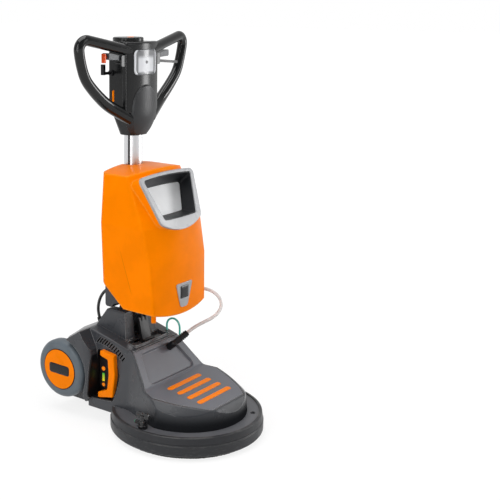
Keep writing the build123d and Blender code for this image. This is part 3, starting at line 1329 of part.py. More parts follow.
# Handle loops: an even grip and an arm that thickens, cut to meet the head and the neck
arm_start = tuple((Vector(*LOOP[ARM_FROM]) + Vector(*LOOP[ARM_FROM + 1])) * 0.5)
grip_route = LOOP[:ARM_FROM + 1] + [arm_start]
arm_route = [arm_start] + LOOP[ARM_FROM + 1:]
loop_radii = [LOOP_CORNER_R] + bend_radii(LOOP)[1:]
with BuildPart() as loop_left:
    add(tube(grip_route, loop_radii[:ARM_FROM], GRIP_R)[0])
    add(tube(arm_route, loop_radii[ARM_FROM:], GRIP_R, ARM_R)[0])
    for neighbour in (head_cover.part, head_box.part, neck_collar.part, boss_cover.part):
        add(neighbour, mode=Mode.SUBTRACT)
keep(loop_left, "loop_left")

with BuildPart() as loop_right:
    add(mirrored(loop_left.part))
keep(loop_right, "loop_right")

# Switch triggers under the grips, the safety button and the mast release lever
with BuildPart() as trigger_left:
    with BuildSketch(Plane.XZ.offset(-TRIGGER_Y[1] + TRIGGER_PLAY)) as trigger_face:
        with BuildLine():
            Polyline(*TRIGGER, close=True)
        make_face()
        fillet(trigger_face.vertices(), radius=4)
        with Locations(TRIGGER_PIVOT):
            Circle(LEVER_PIN_R + RUNNING_GAP, mode=Mode.SUBTRACT)
    extrude(amount=TRIGGER_Y[1] - TRIGGER_Y[0] - 2 * TRIGGER_PLAY)
keep(trigger_left, "trigger_left")

with BuildPart() as trigger_right:
    add(mirrored(trigger_left.part))
    add(x_cylinder(STEM_R + RUNNING_GAP, *BUTTON, (-TRIGGER_END - 3, -STEM_X[0] + 6)), mode=Mode.SUBTRACT)
keep(trigger_right, "trigger_right")

with BuildPart() as safety_button:
    button_y = (BUTTON[0] - BUTTON_HALF, BUTTON[0] + BUTTON_HALF)
    add(box_part((-BUTTON_X[1], -BUTTON_X[0]), button_y, BUTTON_Z))
    fillet(safety_button.edges(), radius=2)
    add(x_cylinder(STEM_R, *BUTTON, (-STEM_X[1], -STEM_X[0])))
keep(safety_button, "safety_button")

with BuildPart() as release_lever:
    with BuildSketch(Plane.XZ.offset(-RELEASE_Y[1])) as release_face:
        with BuildLine():
            Polyline(*RELEASE, close=True)
        make_face()
        fillet(release_face.vertices(), radius=3)
        with Locations(RELEASE_PIVOT):
            Circle(LEVER_PIN_R + RUNNING_GAP, mode=Mode.SUBTRACT)
    extrude(amount=RELEASE_Y[1] - RELEASE_Y[0])
keep(release_lever, "release_lever")

# Cable hooks that swivel in the sides of the rear box
with BuildPart() as hook_left:
    add(x_cylinder(HOOK_R, *HOOK_PIVOT, (HEAD_REAR_HALF - 10, HOOK_X)))
    add(x_cylinder(HOOK_R + 4, *HOOK_PIVOT, (HEAD_REAR_HALF + 0.4, HEAD_REAR_HALF + 5)))
    tip_y = (HOOK_PIVOT[0] - HOOK_R - 1, HOOK_PIVOT[0] + HOOK_R + 1)
    add(box_part((HOOK_X - 2 * HOOK_R, HOOK_X), tip_y, (HOOK_PIVOT[1] - HOOK_R, HOOK_PIVOT[1] + HOOK_TALL)))
keep(hook_left, "hook_left")

with BuildPart() as hook_right:
    add(mirrored(hook_left.part))
keep(hook_right, "hook_right")

# Hose elbow on the ramp, cable gland on the shoulder, valve on the flange
barrel_axis = Vector(*HOSE_ROUTE[-1]) - Vector(*ELBOW_BEND)
barrel_plane = Plane(origin=ELBOW_BEND, z_dir=barrel_axis)
with BuildPart() as elbow_fitting:
    with BuildSketch(elbow_plane.offset(-10)):
        Circle(ELBOW_R)
    extrude(amount=10 + elbow_axis.length)
    with BuildSketch(barrel_plane):
        Circle(ELBOW_R - 1.5)
    extrude(amount=barrel_axis.length)
    with Locations(ELBOW_BEND):
        Sphere(ELBOW_R)
    for place in range(BARREL_RIBS):
        with BuildSketch(barrel_plane.offset(BARREL_FIRST + BARREL_PITCH * place)):
            Circle(ELBOW_R)
        extrude(amount=BARREL_PITCH / 2)
keep(elbow_fitting, "elbow_fitting")

with BuildPart() as cable_gland:
    with BuildSketch(gland_plane.offset(-8)):
        Circle(CABLE_R + 2.7)
    extrude(amount=8 + (Vector(*CABLE_ROUTE[-1]) - Vector(*GLAND_FOOT)).length)
keep(cable_gland, "cable_gland")

with BuildPart() as valve_base:
    add(z_cylinder(VALVE_FOOT_R, *VALVE, (FLANGE_TOP, FLANGE_TOP + VALVE_FOOT_T)))
    add(z_cylinder(VALVE_R, *VALVE, (FLANGE_TOP + VALVE_FOOT_T, VALVE_TOP)))
    with BuildSketch(Plane.XZ.offset(-VALVE[1])):
        with Locations((VALVE[0], FLANGE_TOP + VALVE_FOOT_T + SPOUT_R - SPOUT_SUNK)):
            Circle(SPOUT_R)
    extrude(amount=-SPOUT_LONG)
    add(z_cylinder(STEM_R + RUNNING_GAP, *VALVE, (VALVE_TOP - 7, VALVE_TOP)), mode=Mode.SUBTRACT)
keep(valve_base, "valve_base")

with BuildPart() as valve_knob:
    add(z_cylinder(VALVE_R - 1, *VALVE, (VALVE_TOP + 0.4, VALVE_TOP + 14)))
    with BuildSketch(Plane.YZ.offset(VALVE[0] - WING_T / 2)):
        with Locations((VALVE[1], VALVE_TOP + 15)):
            SlotOverall(*WING_SIZE)
        with Locations((VALVE[1], VALVE_TOP + 15 + WING_SIZE[1] / 2 + WING_WAIST_R / 2)):
            Circle(WING_WAIST_R, mode=Mode.SUBTRACT)
    extrude(amount=WING_T)
    add(z_cylinder(STEM_R, *VALVE, (VALVE_TOP - 6, VALVE_TOP + 1)))
keep(valve_knob, "valve_knob")

# Cords
with BuildPart() as solution_hose:
    add(cord(HOSE_ROUTE, HOSE_R, "solution_hose"))
keep(solution_hose, "solution_hose")

with BuildPart() as control_cable:
    add(cord(CABLE_ROUTE, CABLE_R, "control_cable"))
keep(control_cable, "control_cable")

with BuildPart() as teal_hose:
    add(cord(TEAL_ROUTE, TEAL_R, "teal_hose"))
keep(teal_hose, "teal_hose")
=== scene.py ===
"""Looks of a single-disc floor buffer with a solution tank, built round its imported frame.

Metres, in the frame of the CAD model: the origin lies on the floor under the middle of the pad, +Z is up,
the front is -Y. The operator stands behind the mast, so "right" is the -X side and "left" is +X.
"""

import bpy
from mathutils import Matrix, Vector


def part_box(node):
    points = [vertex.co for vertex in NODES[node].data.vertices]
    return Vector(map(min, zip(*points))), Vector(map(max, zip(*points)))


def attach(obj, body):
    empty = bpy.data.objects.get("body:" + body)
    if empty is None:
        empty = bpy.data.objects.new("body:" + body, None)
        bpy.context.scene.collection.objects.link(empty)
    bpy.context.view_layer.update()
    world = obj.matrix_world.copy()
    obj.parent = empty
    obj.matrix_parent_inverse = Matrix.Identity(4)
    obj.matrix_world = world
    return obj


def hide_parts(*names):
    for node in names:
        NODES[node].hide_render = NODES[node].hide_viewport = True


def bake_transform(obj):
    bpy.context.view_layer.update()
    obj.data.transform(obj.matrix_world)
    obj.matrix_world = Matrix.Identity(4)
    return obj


bl_info = {
    "name": "Floor buffer finishes",
    "version": (1, 0, 0),
    "blender": (4, 5, 0),
    "location": "View3D > Sidebar > Buffer",
    "description": "Finishes, hoses, small fittings and studio of a single-disc floor buffer",
    "category": "Object",
}

import bpy
import numpy as np
from mathutils import Vector

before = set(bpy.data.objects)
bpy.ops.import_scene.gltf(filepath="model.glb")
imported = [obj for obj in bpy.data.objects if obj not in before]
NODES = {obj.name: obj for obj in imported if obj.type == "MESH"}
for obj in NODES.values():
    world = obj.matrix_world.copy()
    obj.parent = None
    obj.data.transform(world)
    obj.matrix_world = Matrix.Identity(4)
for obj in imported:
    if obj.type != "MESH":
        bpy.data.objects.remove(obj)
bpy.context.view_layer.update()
FINISHED = set()

# Routes of the hoses and the cable, from the end on the mast or tank to the end on the chassis
SOLUTION_ROUTE = [
    (0.124, 0.052, 0.376), (0.137, 0.038, 0.3732), (0.146, 0.020, 0.3665), (0.1515, 0.0025, 0.3535),
    (0.152, -0.008, 0.334), (0.1445, -0.0055, 0.312), (0.131, 0.009, 0.293), (0.114, 0.029, 0.2795),
    (0.09536, 0.04848, 0.2654), (0.080, 0.060, 0.251),
]
CABLE_ROUTE = [
    (0.0, 0.252, 0.366), (0.0, 0.270, 0.366), (0.0, 0.293, 0.357), (0.0, 0.314, 0.338),
    (0.0, 0.328, 0.313), (0.0, 0.3331, 0.2811), (0.0, 0.3266, 0.2622),
]
TEAL_ROUTE = [
    (0.096, 0.146, 0.233), (0.096, 0.147, 0.2456), (0.096, 0.147, 0.2583), (0.0965, 0.1407, 0.2691),
    (0.097, 0.1299, 0.2754), (0.097, 0.1174, 0.2754), (0.0965, 0.1066, 0.2691), (0.096, 0.1003, 0.2583),
    (0.096, 0.0996, 0.2457), (0.096, 0.0999, 0.233), (0.096, 0.1004, 0.2204), (0.096, 0.1004, 0.208),
]

# Camera of the photograph
CAMERA_PLACE = (-2.1, -1.5387, 1.19)
CAMERA_YAW = -50.24
CAMERA_PITCH = 14.43
FOCAL_PIXELS = 990.16
IMAGE_SIDE = 500.0
PRINCIPAL_X = 130.0
SENSOR = 36.0

# Places on the flange: the valve's axis, its spout and the middle of the open hole
VALVE_X = -0.187
SPOUT_Z = 0.076
HOLE_PLACE = (0.087, -0.165, 0.063)

# Specular level of the satin body mouldings
SATIN_SHEEN = 0.4

# Painted shade on the dome's wall: heights between which it darkens towards the flange, and distances from
# its axis and places along Y between which this shade fades in
DOME_SHADE = (0.128, 0.076)
DOME_REACH = (0.2, 0.185)
DOME_AHEAD = (0.06, -0.03)

# Faint line of painted shade for a crease on each side of the tank, from its upper to its lower end, as (y,
# z);
# distances from it between which it fades in, heights over which its lower and upper end fade in, and where
# along X the sides begin
SIDE_LINE = [(0.147, 0.548), (0.100, 0.393)]
SIDE_LINE_EDGE = (0.0016, 0.0004)
SIDE_LINE_FOOT = (0.393, 0.423)
SIDE_LINE_TOP = (0.548, 0.488)
SIDE_LINE_X = (0.10, 0.11)

# Width of the dark line round a wheel cap
CAP_RIM = 0.0028

# Share of the floor that glows white for the camera near the object, the distances over which it grows
# to the whole, and the level of that glow
FLOOR_GLOW = 0.76
FLOOR_FADE = (0.6, 1.8)
FLOOR_LEVEL = 1.08

# Level of the light that comes from all round, share of the white backdrop that metal and gloss mirror, and
# the range over which that backdrop fades in, as the cosine of the angle to the photograph's line of sight
AMBIENT = 0.28
MIRRORED = 0.8
MIRROR_FADE = (-0.6, 0.7)

# Dark strip down each side of the mast: its width, how far it stands out, its turn ahead of the mast's
# side, its end below the top of the tube, and its profile in shares of the half width and of the height
STRIP_WIDE = 0.006
STRIP_PROUD = 0.0004
STRIP_AHEAD = 0.22
STRIP_SHORT = 0.002
STRIP_PROFILE = [(-1.0, -1.0), (-1.0, 0.4), (-0.6, 1.0), (0.0, 1.0), (0.6, 1.0), (1.0, 0.4), (1.0, -1.0)]

# Shape of the head's bowed front, as its middle and the place where it meets the sides
HEAD_FRONT_Y = 0.152
HEAD_SIDE = (0.067, 0.165)

# Flat back face of the head, in front of the overhang of its top cap
HEAD_BACK_Y = 0.246

# Screws at both sides of the middle: their distance from it and their heights, which on the tank bracket are
# counted down from its top
BRACKET_SCREWS = (0.042, (0.07, 0.036))
CASE_SCREWS = (0.036, (0.902, 1.052))

# Small plates: radius of the corner and thickness of a cap's label and of the badge's inset, and how far the
# inset's middle lies below the badge's top
LABEL_EDGE = (0.008, 0.0012)
INSET_EDGE = (0.003, 0.001)
INSET_DROP = 0.026

# Orange marks on the head's cap and side: width and height, radius of the corner, thickness, and place
CAP_MARK = ((0.022, 0.009), 0.003, 0.0008)
CAP_MARK_Y = 0.206
SIDE_MARK = ((0.007, 0.03), 0.002, 0.001)
SIDE_MARK_YZ = (0.226, 0.925)

# Window on the head: radius of its corners, profile of its frame as (inset, height), distances from the
# frame's sides over which its painted highlight fades in, and the ranges over which the pale panel and its
# screw fade out
WINDOW_CORNER = 0.011
WINDOW_PROFILE = [
    (-0.0022, -0.0012), (-0.0022, 0.0024), (-0.0012, 0.0036), (0.0014, 0.0036), (0.0026, 0.0026),
    (0.0026, 0.0012),
]
FRAME_HIGHLIGHT = (0.010, 0.002)
PANEL_TOP = (0.021, 0.006)
PANEL_FOOT = (-0.030, -0.022)
PANEL_SIDE = (0.036, 0.028)
PANEL_SCREW = (0.0046, 0.0040)

# Heights of the indicator's bar: where it begins, where it ends, and where it turns from yellow to green
LENS_FOOT = (0.1135, 0.1155)
LENS_TOP = (0.1465, 0.1445)
LENS_TURN = (0.118, 0.142)

# Profiles of (radius, distance along the axis): the plug in the valve's spout and the ring round the hole
PLUG_PROFILE = [(0.0034, -0.002), (0.0046, 0.0), (0.0046, 0.0016), (0.0038, 0.0024), (0.0016, 0.0026)]
GROMMET_PROFILE = [
    (0.0074, -0.0004), (0.0066, 0.0012), (0.0050, 0.0014), (0.0042, 0.0008), (0.0042, -0.0004),
]

# Pad: rows up its edge, points round it, gap above and below, how far the rim is drawn in, its bulge, the
# shake of its fibres and the seed of that shake
PAD_ROWS = 9
PAD_TURNS = 360
PAD_GAP = 0.0004
PAD_DRAWN_IN = 0.0025
PAD_BULGE = 0.0016
PAD_SHAKE = 0.0009
PAD_SEED = 4

# Floor: half of its side, and points along a side
FLOOR_HALF = 30.0
FLOOR_POINTS = 9

# Softboxes: name, place, target, width and height, watts
LAMPS = [
    ("Top_softbox", (-0.4, 0.3, 3.2), (0.0, 0.1, 0.3), (2.2, 2.2), 55.0),
    ("Left_softbox", (-3.0, 0.2, 1.7), (0.0, 0.1, 0.6), (1.0, 2.4), 30.0),
    ("Front_softbox", (0.8, -3.2, 2.2), (0.0, 0.1, 0.6), (1.2, 2.0), 12.0),
    ("Strip_softbox", (2.3, -1.75, 1.0), (0.0, 0.15, 0.95), (0.7, 1.7), 36.0),
    ("Line_softbox", (-2.75, -0.75, 1.2), (0.0, 0.15, 0.7), (0.12, 2.0), 12.0),
]

# Depths of relief that bump stands for: mould grain, drawn lines, rubber grain and rings of a hose
GRAIN_DEPTH = 0.0004
DRAWN_DEPTH = 0.0001
RUBBER_DEPTH = 0.0005
HOSE_DEPTH = 0.0003

# Roughness that full dust adds, and roughness of a clear coat
DUST_ROUGH = 0.4
COAT_ROUGH = 0.08

# Directions
ACROSS = (1.0, 0.0, 0.0)
BACKWARD = (0.0, 1.0, 0.0)
UP = (0.0, 0.0, 1.0)

# Kinds of socket that the effects have
VECTOR = "NodeSocketVector"
FLOAT = "NodeSocketFloat"


# Settings


def linear(red, green, blue):
    """A display colour of 0 to 255 as the linear values that a shader takes."""
    shares = np.array([red, green, blue], float) / 255.0
    curve = np.where(shares <= 0.04045, shares / 12.92, ((shares + 0.055) / 1.055) ** 2.4)
    return tuple(float(value) for value in curve)


def colour_setting(label, use, red, green, blue):
    """A colour property whose default is given as a display colour."""
    return bpy.props.FloatVectorProperty(
        name=label, description=use, subtype="COLOR", size=3, min=0.0, max=1.0,
        default=linear(red, green, blue),
    )


def length_setting(label, use, metres):
    """A length property in metres."""
    return bpy.props.FloatProperty(name=label, description=use, default=metres, min=0.0, unit="LENGTH")


class BufferColours(bpy.types.PropertyGroup):
    """Colours of mouldings, paint, rubber and metal."""

    housing: colour_setting("Housing", "Charcoal body moulding", 60, 62, 66)
    lid: colour_setting("Deck lid", "Lighter cover over deck and ramp", 97, 99, 106)
    orange: colour_setting("Accent orange", "Grab handles, wheel caps and inlays", 250, 130, 2)
    tank: colour_setting("Tank orange", "Rotomoulded solution tank", 252, 130, 0)
    # Painted highlight and wear on the edges of the orange mouldings
    edge: colour_setting("Orange edge", "Lit edges of the orange mouldings", 255, 168, 62)
    button: colour_setting("Button", "Safety button under the right grip", 232, 84, 26)
    bumper: colour_setting("Bumper", "Rubber ring round the base", 42, 43, 46)
    black: colour_setting("Black fittings", "Satin black mouldings", 20, 20, 22)
    handle: colour_setting("Handle", "Glossy black head and loops", 15, 16, 17)
    boss: colour_setting("Boss", "Matt cover on the front of the head", 36, 37, 39)
    lever: colour_setting("Levers", "Dark grey switch levers", 66, 68, 72)
    liner: colour_setting("Dark liner", "Hopper walls", 32, 33, 36)
    bracket: colour_setting("Bracket", "Tank bracket behind the mast", 62, 64, 68)
    panel: colour_setting("Pale panel", "Back of the hopper", 246, 247, 248)
    silver: colour_setting("Silver trim", "Painted bezel and badge", 162, 163, 166)
    # The window colour also paints the highlight on the sides of the window's frame
    window: colour_setting("Window", "Middle of the window on the head", 214, 216, 220)
    tyre: colour_setting("Tyre", "Grey wheel tyre", 94, 103, 110)
    steel: colour_setting("Steel", "Plated steel fittings", 178, 178, 180)
    aluminium: colour_setting("Mast", "Anodised aluminium tube", 214, 215, 217)
    casting: colour_setting("Casting", "Painted base casting", 90, 91, 95)
    # The pad colour is partly painted shade: near black so the pad's edge under the bumper reads as shadow
    fibre: colour_setting("Pad", "Dark cleaning pad", 34, 32, 30)
    driver: colour_setting("Pad driver", "Moulded plate with bristles", 56, 60, 68)
    teal: colour_setting("Teal hose", "Thin polyurethane hose", 84, 218, 202)
    clear: colour_setting("Solution hose", "Milky clear hose", 238, 233, 231)
    cable: colour_setting("Cable", "Control cable sheath", 20, 20, 21)
    green: colour_setting("Green plug", "Plug in the valve's spout", 40, 160, 110)
    lens: colour_setting("Lens", "Small lamps of the indicator", 255, 140, 20)
    lens_foot: colour_setting("Lens foot", "Lower end of the indicator's bar", 240, 214, 40)
    lens_top: colour_setting("Lens top", "Upper end of the indicator's bar", 60, 190, 70)
    dust: colour_setting("Dust", "Fine dust on upward faces", 150, 148, 144)
    floor: colour_setting("Floor", "Pale studio floor", 244, 244, 244)


class BufferSizes(bpy.types.PropertyGroup):
    """Sizes of the pieces that are added to the frame."""

    solution_wide: length_setting("Solution hose", "Diameter of the milky hose", 0.010)
    cable_wide: length_setting("Cable", "Diameter of the control cable", 0.009)
    teal_wide: length_setting("Teal hose", "Diameter of the thin hose", 0.006)
    screw_head: length_setting("Screw head", "Radius of a screw's head", 0.0042)
    label_long: length_setting("Cap label", "Length of the bare plate on each wheel cap", 0.078)
    label_tall: length_setting("Cap label height", "Height of the bare plate on each wheel cap", 0.030)
    badge_wide: length_setting("Badge inset", "Width of the bare inset of the badge", 0.036)


# Shader helpers


def feed(tree, socket, value):
    """Link a socket to another, or set its constant; a colour of three values gets its alpha."""
    if isinstance(value, bpy.types.NodeSocket):
        tree.links.new(value, socket)
    elif socket.type == "RGBA":
        socket.default_value = (*tuple(value)[:3], 1.0)
    else:
        socket.default_value = value


def fill(tree, node, inputs):
    """Feed several inputs of a node, by name or by number."""
    for key, value in inputs.items():
        feed(tree, node.inputs[key], value)


def add_node(tree, kind, inputs=None, **settings):
    """A node with its settings made and then its inputs fed."""
    node = tree.nodes.new(kind)
    for key, value in settings.items():
        setattr(node, key, value)
    fill(tree, node, inputs or {})
    return node


def arithmetic(tree, operation, *values):
    """The output of a Math node over sockets or numbers."""
    return add_node(tree, "ShaderNodeMath", dict(enumerate(values)), operation=operation).outputs[0]


def product(tree, *values):
    """Sockets or numbers multiplied together."""
    total = values[0]
    for value in values[1:]:
        total = arithmetic(tree, "MULTIPLY", total, value)
    return total


def vector_math(tree, operation, *values):
    """The outputs of a Vector Math node over sockets or vectors."""
    return add_node(tree, "ShaderNodeVectorMath", dict(enumerate(values)), operation=operation).outputs


def axes_of(tree, vector):
    """The X, Y and Z outputs of a vector socket."""
    return add_node(tree, "ShaderNodeSeparateXYZ", {"Vector": vector}).outputs


def spread(tree, value, source, target):
    """A value mapped from one range to another and clamped."""
    node = add_node(
        tree, "ShaderNodeMapRange",
        {"Value": value, "From Min": source[0], "From Max": source[1],
         "To Min": target[0], "To Max": target[1]},
    )
    return node.outputs["Result"]


def ranged(tree, share, target):
    """A share of 0 to 1 mapped onto a range."""
    return spread(tree, share, (0.0, 1.0), target)


def smooth_step(tree, value, low, high):
    """A value eased from 0 at low to 1 at high."""
    node = add_node(
        tree, "ShaderNodeMapRange", {"Value": value, "From Min": low, "From Max": high},
        interpolation_type="SMOOTHSTEP",
    )
    return node.outputs["Result"]


def eased(tree, *steps):
    """The product of values, each eased from 0 to 1 over its own range."""
    return product(tree, *(smooth_step(tree, value, *span) for value, span in steps))


def blend_colour(tree, factor, first, second):
    """A mix of two colours or colour sockets."""
    node = add_node(tree, "ShaderNodeMix", {0: factor, 6: first, 7: second}, data_type="RGBA")
    return node.outputs[2]


def noise(tree, vector, scale, detail=2.0, roughness=0.5):
    """The value of a noise texture on a vector socket."""
    node = add_node(
        tree, "ShaderNodeTexNoise",
        {"Vector": vector, "Scale": scale, "Detail": detail, "Roughness": roughness},
    )
    return node.outputs["Fac"]


def stretched(tree, vector, scale):
    """A vector socket scaled by axis."""
    return add_node(tree, "ShaderNodeMapping", {"Vector": vector, "Scale": scale}).outputs["Vector"]


# Effects that several materials share


def effect(name, inputs, outputs):
    """A new shader node group with its sockets, and its input and output nodes."""
    tree = bpy.data.node_groups.new(name, "ShaderNodeTree")
    for label, kind, default in inputs:
        socket = tree.interface.new_socket(label, in_out="INPUT", socket_type=kind)
        if default is not None:
            socket.default_value = default
    for label, kind in outputs:
        tree.interface.new_socket(label, in_out="OUTPUT", socket_type=kind)
    return tree, tree.nodes.new("NodeGroupInput").outputs, tree.nodes.new("NodeGroupOutput").inputs


def make_mould_grain():
    """Spark-eroded mould texture: fine noise over small pits, as a height."""
    tree, given, out = effect(
        "Mould_grain", [("Vector", VECTOR, None), ("Scale", FLOAT, 900.0)], [("Height", FLOAT)]
    )
    fine = noise(tree, given["Vector"], given["Scale"], 3.0, 0.6)
    pits = add_node(tree, "ShaderNodeTexVoronoi", {"Vector": given["Vector"], "Scale": given["Scale"]})
    feed(tree, out["Height"], arithmetic(tree, "MULTIPLY_ADD", pits.outputs["Distance"], 0.5, fine))


def make_handling():
    """Broad soft cloud left by hands and wiping, from 0 to 1."""
    tree, given, out = effect(
        "Handling", [("Vector", VECTOR, None), ("Scale", FLOAT, 14.0)], [("Cloud", FLOAT)]
    )
    broad = noise(tree, given["Vector"], given["Scale"], 4.0, 0.6)
    feed(tree, out["Cloud"], smooth_step(tree, broad, 0.3, 0.72))


def make_settled_dust():
    """Dust on faces that look up: eased upward share of the normal, broken by noise."""
    tree, given, out = effect("Settled_dust", [("Vector", VECTOR, None)], [("Mask", FLOAT)])
    normal = add_node(tree, "ShaderNodeNewGeometry").outputs["Normal"]
    upward = smooth_step(tree, axes_of(tree, normal)["Z"], 0.35, 0.98)
    patches = smooth_step(tree, noise(tree, given["Vector"], 22.0, 5.0, 0.65), 0.35, 0.75)
    specks = smooth_step(tree, noise(tree, given["Vector"], 620.0, 2.0), 0.55, 0.75)
    amount = arithmetic(tree, "MULTIPLY_ADD", specks, 0.35, product(tree, patches, 0.65))
    feed(tree, out["Mask"], product(tree, upward, amount))


def make_floor_scuff():
    """Grey scuffs that fade upwards from the floor over a reach."""
    tree, given, out = effect(
        "Floor_scuff", [("Vector", VECTOR, None), ("Reach", FLOAT, 0.08)], [("Mask", FLOAT)]
    )
    height = axes_of(tree, given["Vector"])["Z"]
    share = arithmetic(tree, "SUBTRACT", 1.0, arithmetic(tree, "DIVIDE", height, given["Reach"]))
    streaks = noise(tree, stretched(tree, given["Vector"], (60.0, 60.0, 260.0)), 1.0, 4.0, 0.65)
    rubbed = smooth_step(tree, streaks, 0.5, 0.72)
    feed(tree, out["Mask"], product(tree, smooth_step(tree, share, 0.0, 1.0), rubbed))


def make_edge_wear():
    """Rounded edges: a bevelled normal, a line where it leaves the true one, and that line broken up."""
    tree, given, out = effect(
        "Edge_wear", [("Vector", VECTOR, None), ("Radius", FLOAT, 0.001)],
        [("Line", FLOAT), ("Mask", FLOAT), ("Normal", VECTOR)],
    )
    rounded = add_node(tree, "ShaderNodeBevel", {"Radius": given["Radius"]}, samples=6).outputs["Normal"]
    normal = add_node(tree, "ShaderNodeNewGeometry").outputs["Normal"]
    facing = vector_math(tree, "DOT_PRODUCT", rounded, normal)["Value"]
    edge = smooth_step(tree, facing, 0.992, 0.9)
    broken = smooth_step(tree, noise(tree, given["Vector"], 160.0, 4.0, 0.7), 0.42, 0.62)
    feed(tree, out["Line"], edge)
    feed(tree, out["Mask"], product(tree, edge, broken))
    feed(tree, out["Normal"], rounded)


def make_drawn_lines():
    """Fine lines drawn along Z, as a height and a streak value."""
    tree, given, out = effect(
        "Drawn_lines", [("Vector", VECTOR, None)], [("Height", FLOAT), ("Streak", FLOAT)]
    )
    lines = noise(tree, stretched(tree, given["Vector"], (1500.0, 1500.0, 7.0)), 1.0, 2.0)
    bands = noise(tree, stretched(tree, given["Vector"], (160.0, 160.0, 1.6)), 1.0, 3.0)
    feed(tree, out["Height"], lines)
    feed(tree, out["Streak"], arithmetic(tree, "MULTIPLY_ADD", lines, 0.5, product(tree, bands, 0.5)))


EFFECT_MAKERS = (
    make_mould_grain, make_handling, make_settled_dust, make_floor_scuff, make_edge_wear, make_drawn_lines,
)


# Materials


def use_effect(tree, name, **inputs):
    """The outputs of a shader node group placed in a material with its own values."""
    return add_node(tree, "ShaderNodeGroup", inputs, node_tree=bpy.data.node_groups[name]).outputs


def object_place(tree):
    """A socket of Object coordinates."""
    return add_node(tree, "ShaderNodeTexCoord").outputs["Object"]


def new_material(name):
    """An empty material with its shader, its output and a socket of Object coordinates."""
    material = bpy.data.materials.new(name)
    material.use_nodes = True
    tree = material.node_tree
    tree.nodes.clear()
    shader = add_node(tree, "ShaderNodeBsdfPrincipled")
    add_node(tree, "ShaderNodeOutputMaterial", {"Surface": shader.outputs["BSDF"]})
    return material, tree, shader, object_place(tree)


def shader_of(material):
    """A finished material's tree and its shader."""
    tree = material.node_tree
    return tree, next(node for node in tree.nodes if node.type == "BSDF_PRINCIPLED")


def overlay(tree, shader, mask, colour):
    """Lay a colour over a shader's own base colour as far as a mask says."""
    under = shader.inputs["Base Color"].links[0].from_socket
    feed(tree, shader.inputs["Base Color"], blend_colour(tree, mask, under, colour))


def roughen(tree, shader, height, strength, depth, **normal):
    """Give a shader the normal of a bump; a normal that the bump starts from goes in as Normal."""
    relief = {"Strength": strength, "Distance": depth, "Height": height, **normal}
    feed(tree, shader.inputs["Normal"], add_node(tree, "ShaderNodeBump", relief).outputs["Normal"])


def scaled(colour, share):
    """A colour times a share."""
    return tuple(channel * share for channel in tuple(colour)[:3])


def lighter(colour, share):
    """A colour brought towards white by a share."""
    return tuple(channel + (1.0 - channel) * share for channel in tuple(colour)[:3])


def moulded(name, colour, rough, grain=0.10, scale=900.0, wear=0.25, dust=0.10, edge=0.0009, painted_glint=0.0,
            coat=0.0, sheen=0.3, tint=(1.0, 1.0, 1.0), wear_and_highlight_colour=None):
    """Moulded plastic: mould grain, handling clouds, worn edges with a painted highlight, a little dust."""
    colours = bpy.context.scene.buffer_colours
    material, tree, shader, place = new_material(name)
    cloud = use_effect(tree, "Handling", Vector=place)["Cloud"]
    worn = use_effect(tree, "Edge_wear", Vector=place, Radius=edge)
    film = product(tree, use_effect(tree, "Settled_dust", Vector=place)["Mask"], dust)
    tone = blend_colour(tree, cloud, scaled(colour, 0.95), scaled(colour, 1.04))
    # The edge colour is real wear, broken by noise, plus a painted highlight along the whole rounded edge
    rubbed = arithmetic(tree, "MULTIPLY_ADD", worn["Mask"], wear, product(tree, worn["Line"], painted_glint))
    worn_and_highlit = blend_colour(tree, rubbed, tone, wear_and_highlight_colour or lighter(colour, 0.22))
    fill(tree, shader, {
        "Base Color": blend_colour(tree, film, worn_and_highlit, colours.dust),
        "Roughness": arithmetic(tree, "MULTIPLY_ADD", film, DUST_ROUGH, ranged(tree, cloud, rough)),
        "Specular IOR Level": sheen,
        "Specular Tint": tint,
        "Coat Weight": coat,
        "Coat Roughness": COAT_ROUGH,
    })
    height = use_effect(tree, "Mould_grain", Vector=place, Scale=scale)["Height"]
    roughen(tree, shader, height, grain, GRAIN_DEPTH, Normal=worn["Normal"])
    return material


def plated(name, colour, rough, edge=0.0006, drawn=0.25):
    """Bare or plated metal: drawn lines, handling clouds and bright rounded edges."""
    material, tree, shader, place = new_material(name)
    cloud = use_effect(tree, "Handling", Vector=place, Scale=22.0)["Cloud"]
    worn = use_effect(tree, "Edge_wear", Vector=place, Radius=edge)
    lines = use_effect(tree, "Drawn_lines", Vector=place)
    tone = blend_colour(tree, lines["Streak"], scaled(colour, 0.93), lighter(colour, 0.04))
    bright = blend_colour(tree, product(tree, worn["Mask"], 0.5), tone, lighter(colour, 0.4))
    fill(tree, shader, {"Base Color": bright, "Metallic": 1.0, "Roughness": ranged(tree, cloud, rough)})
    roughen(tree, shader, lines["Height"], drawn, DRAWN_DEPTH, Normal=worn["Normal"])
    return material


def rubbery(name, colour, rough, reach, scuff=0.35, dust=0.14, grain=0.16, sheen=0.3):
    """Moulded rubber: soft grain, pale scuffs near the floor and dust on top."""
    colours = bpy.context.scene.buffer_colours
    material, tree, shader, place = new_material(name)
    cloud = use_effect(tree, "Handling", Vector=place, Scale=18.0)["Cloud"]
    worn = use_effect(tree, "Edge_wear", Vector=place, Radius=0.0015)
    settled = use_effect(tree, "Settled_dust", Vector=place)["Mask"]
    rubbed = use_effect(tree, "Floor_scuff", Vector=place, Reach=reach)["Mask"]
    tone = blend_colour(tree, cloud, scaled(colour, 0.88), scaled(colour, 1.08))
    dusty = blend_colour(tree, product(tree, settled, dust), tone, colours.dust)
    marked = blend_colour(tree, product(tree, rubbed, scuff), dusty, lighter(colour, 0.12))
    rough_now = ranged(tree, cloud, rough)
    fill(tree, shader, {"Base Color": marked, "Roughness": rough_now, "Specular IOR Level": sheen})
    height = use_effect(tree, "Mould_grain", Vector=place, Scale=700.0)["Height"]
    roughen(tree, shader, height, grain, RUBBER_DEPTH, Normal=worn["Normal"])
    return material


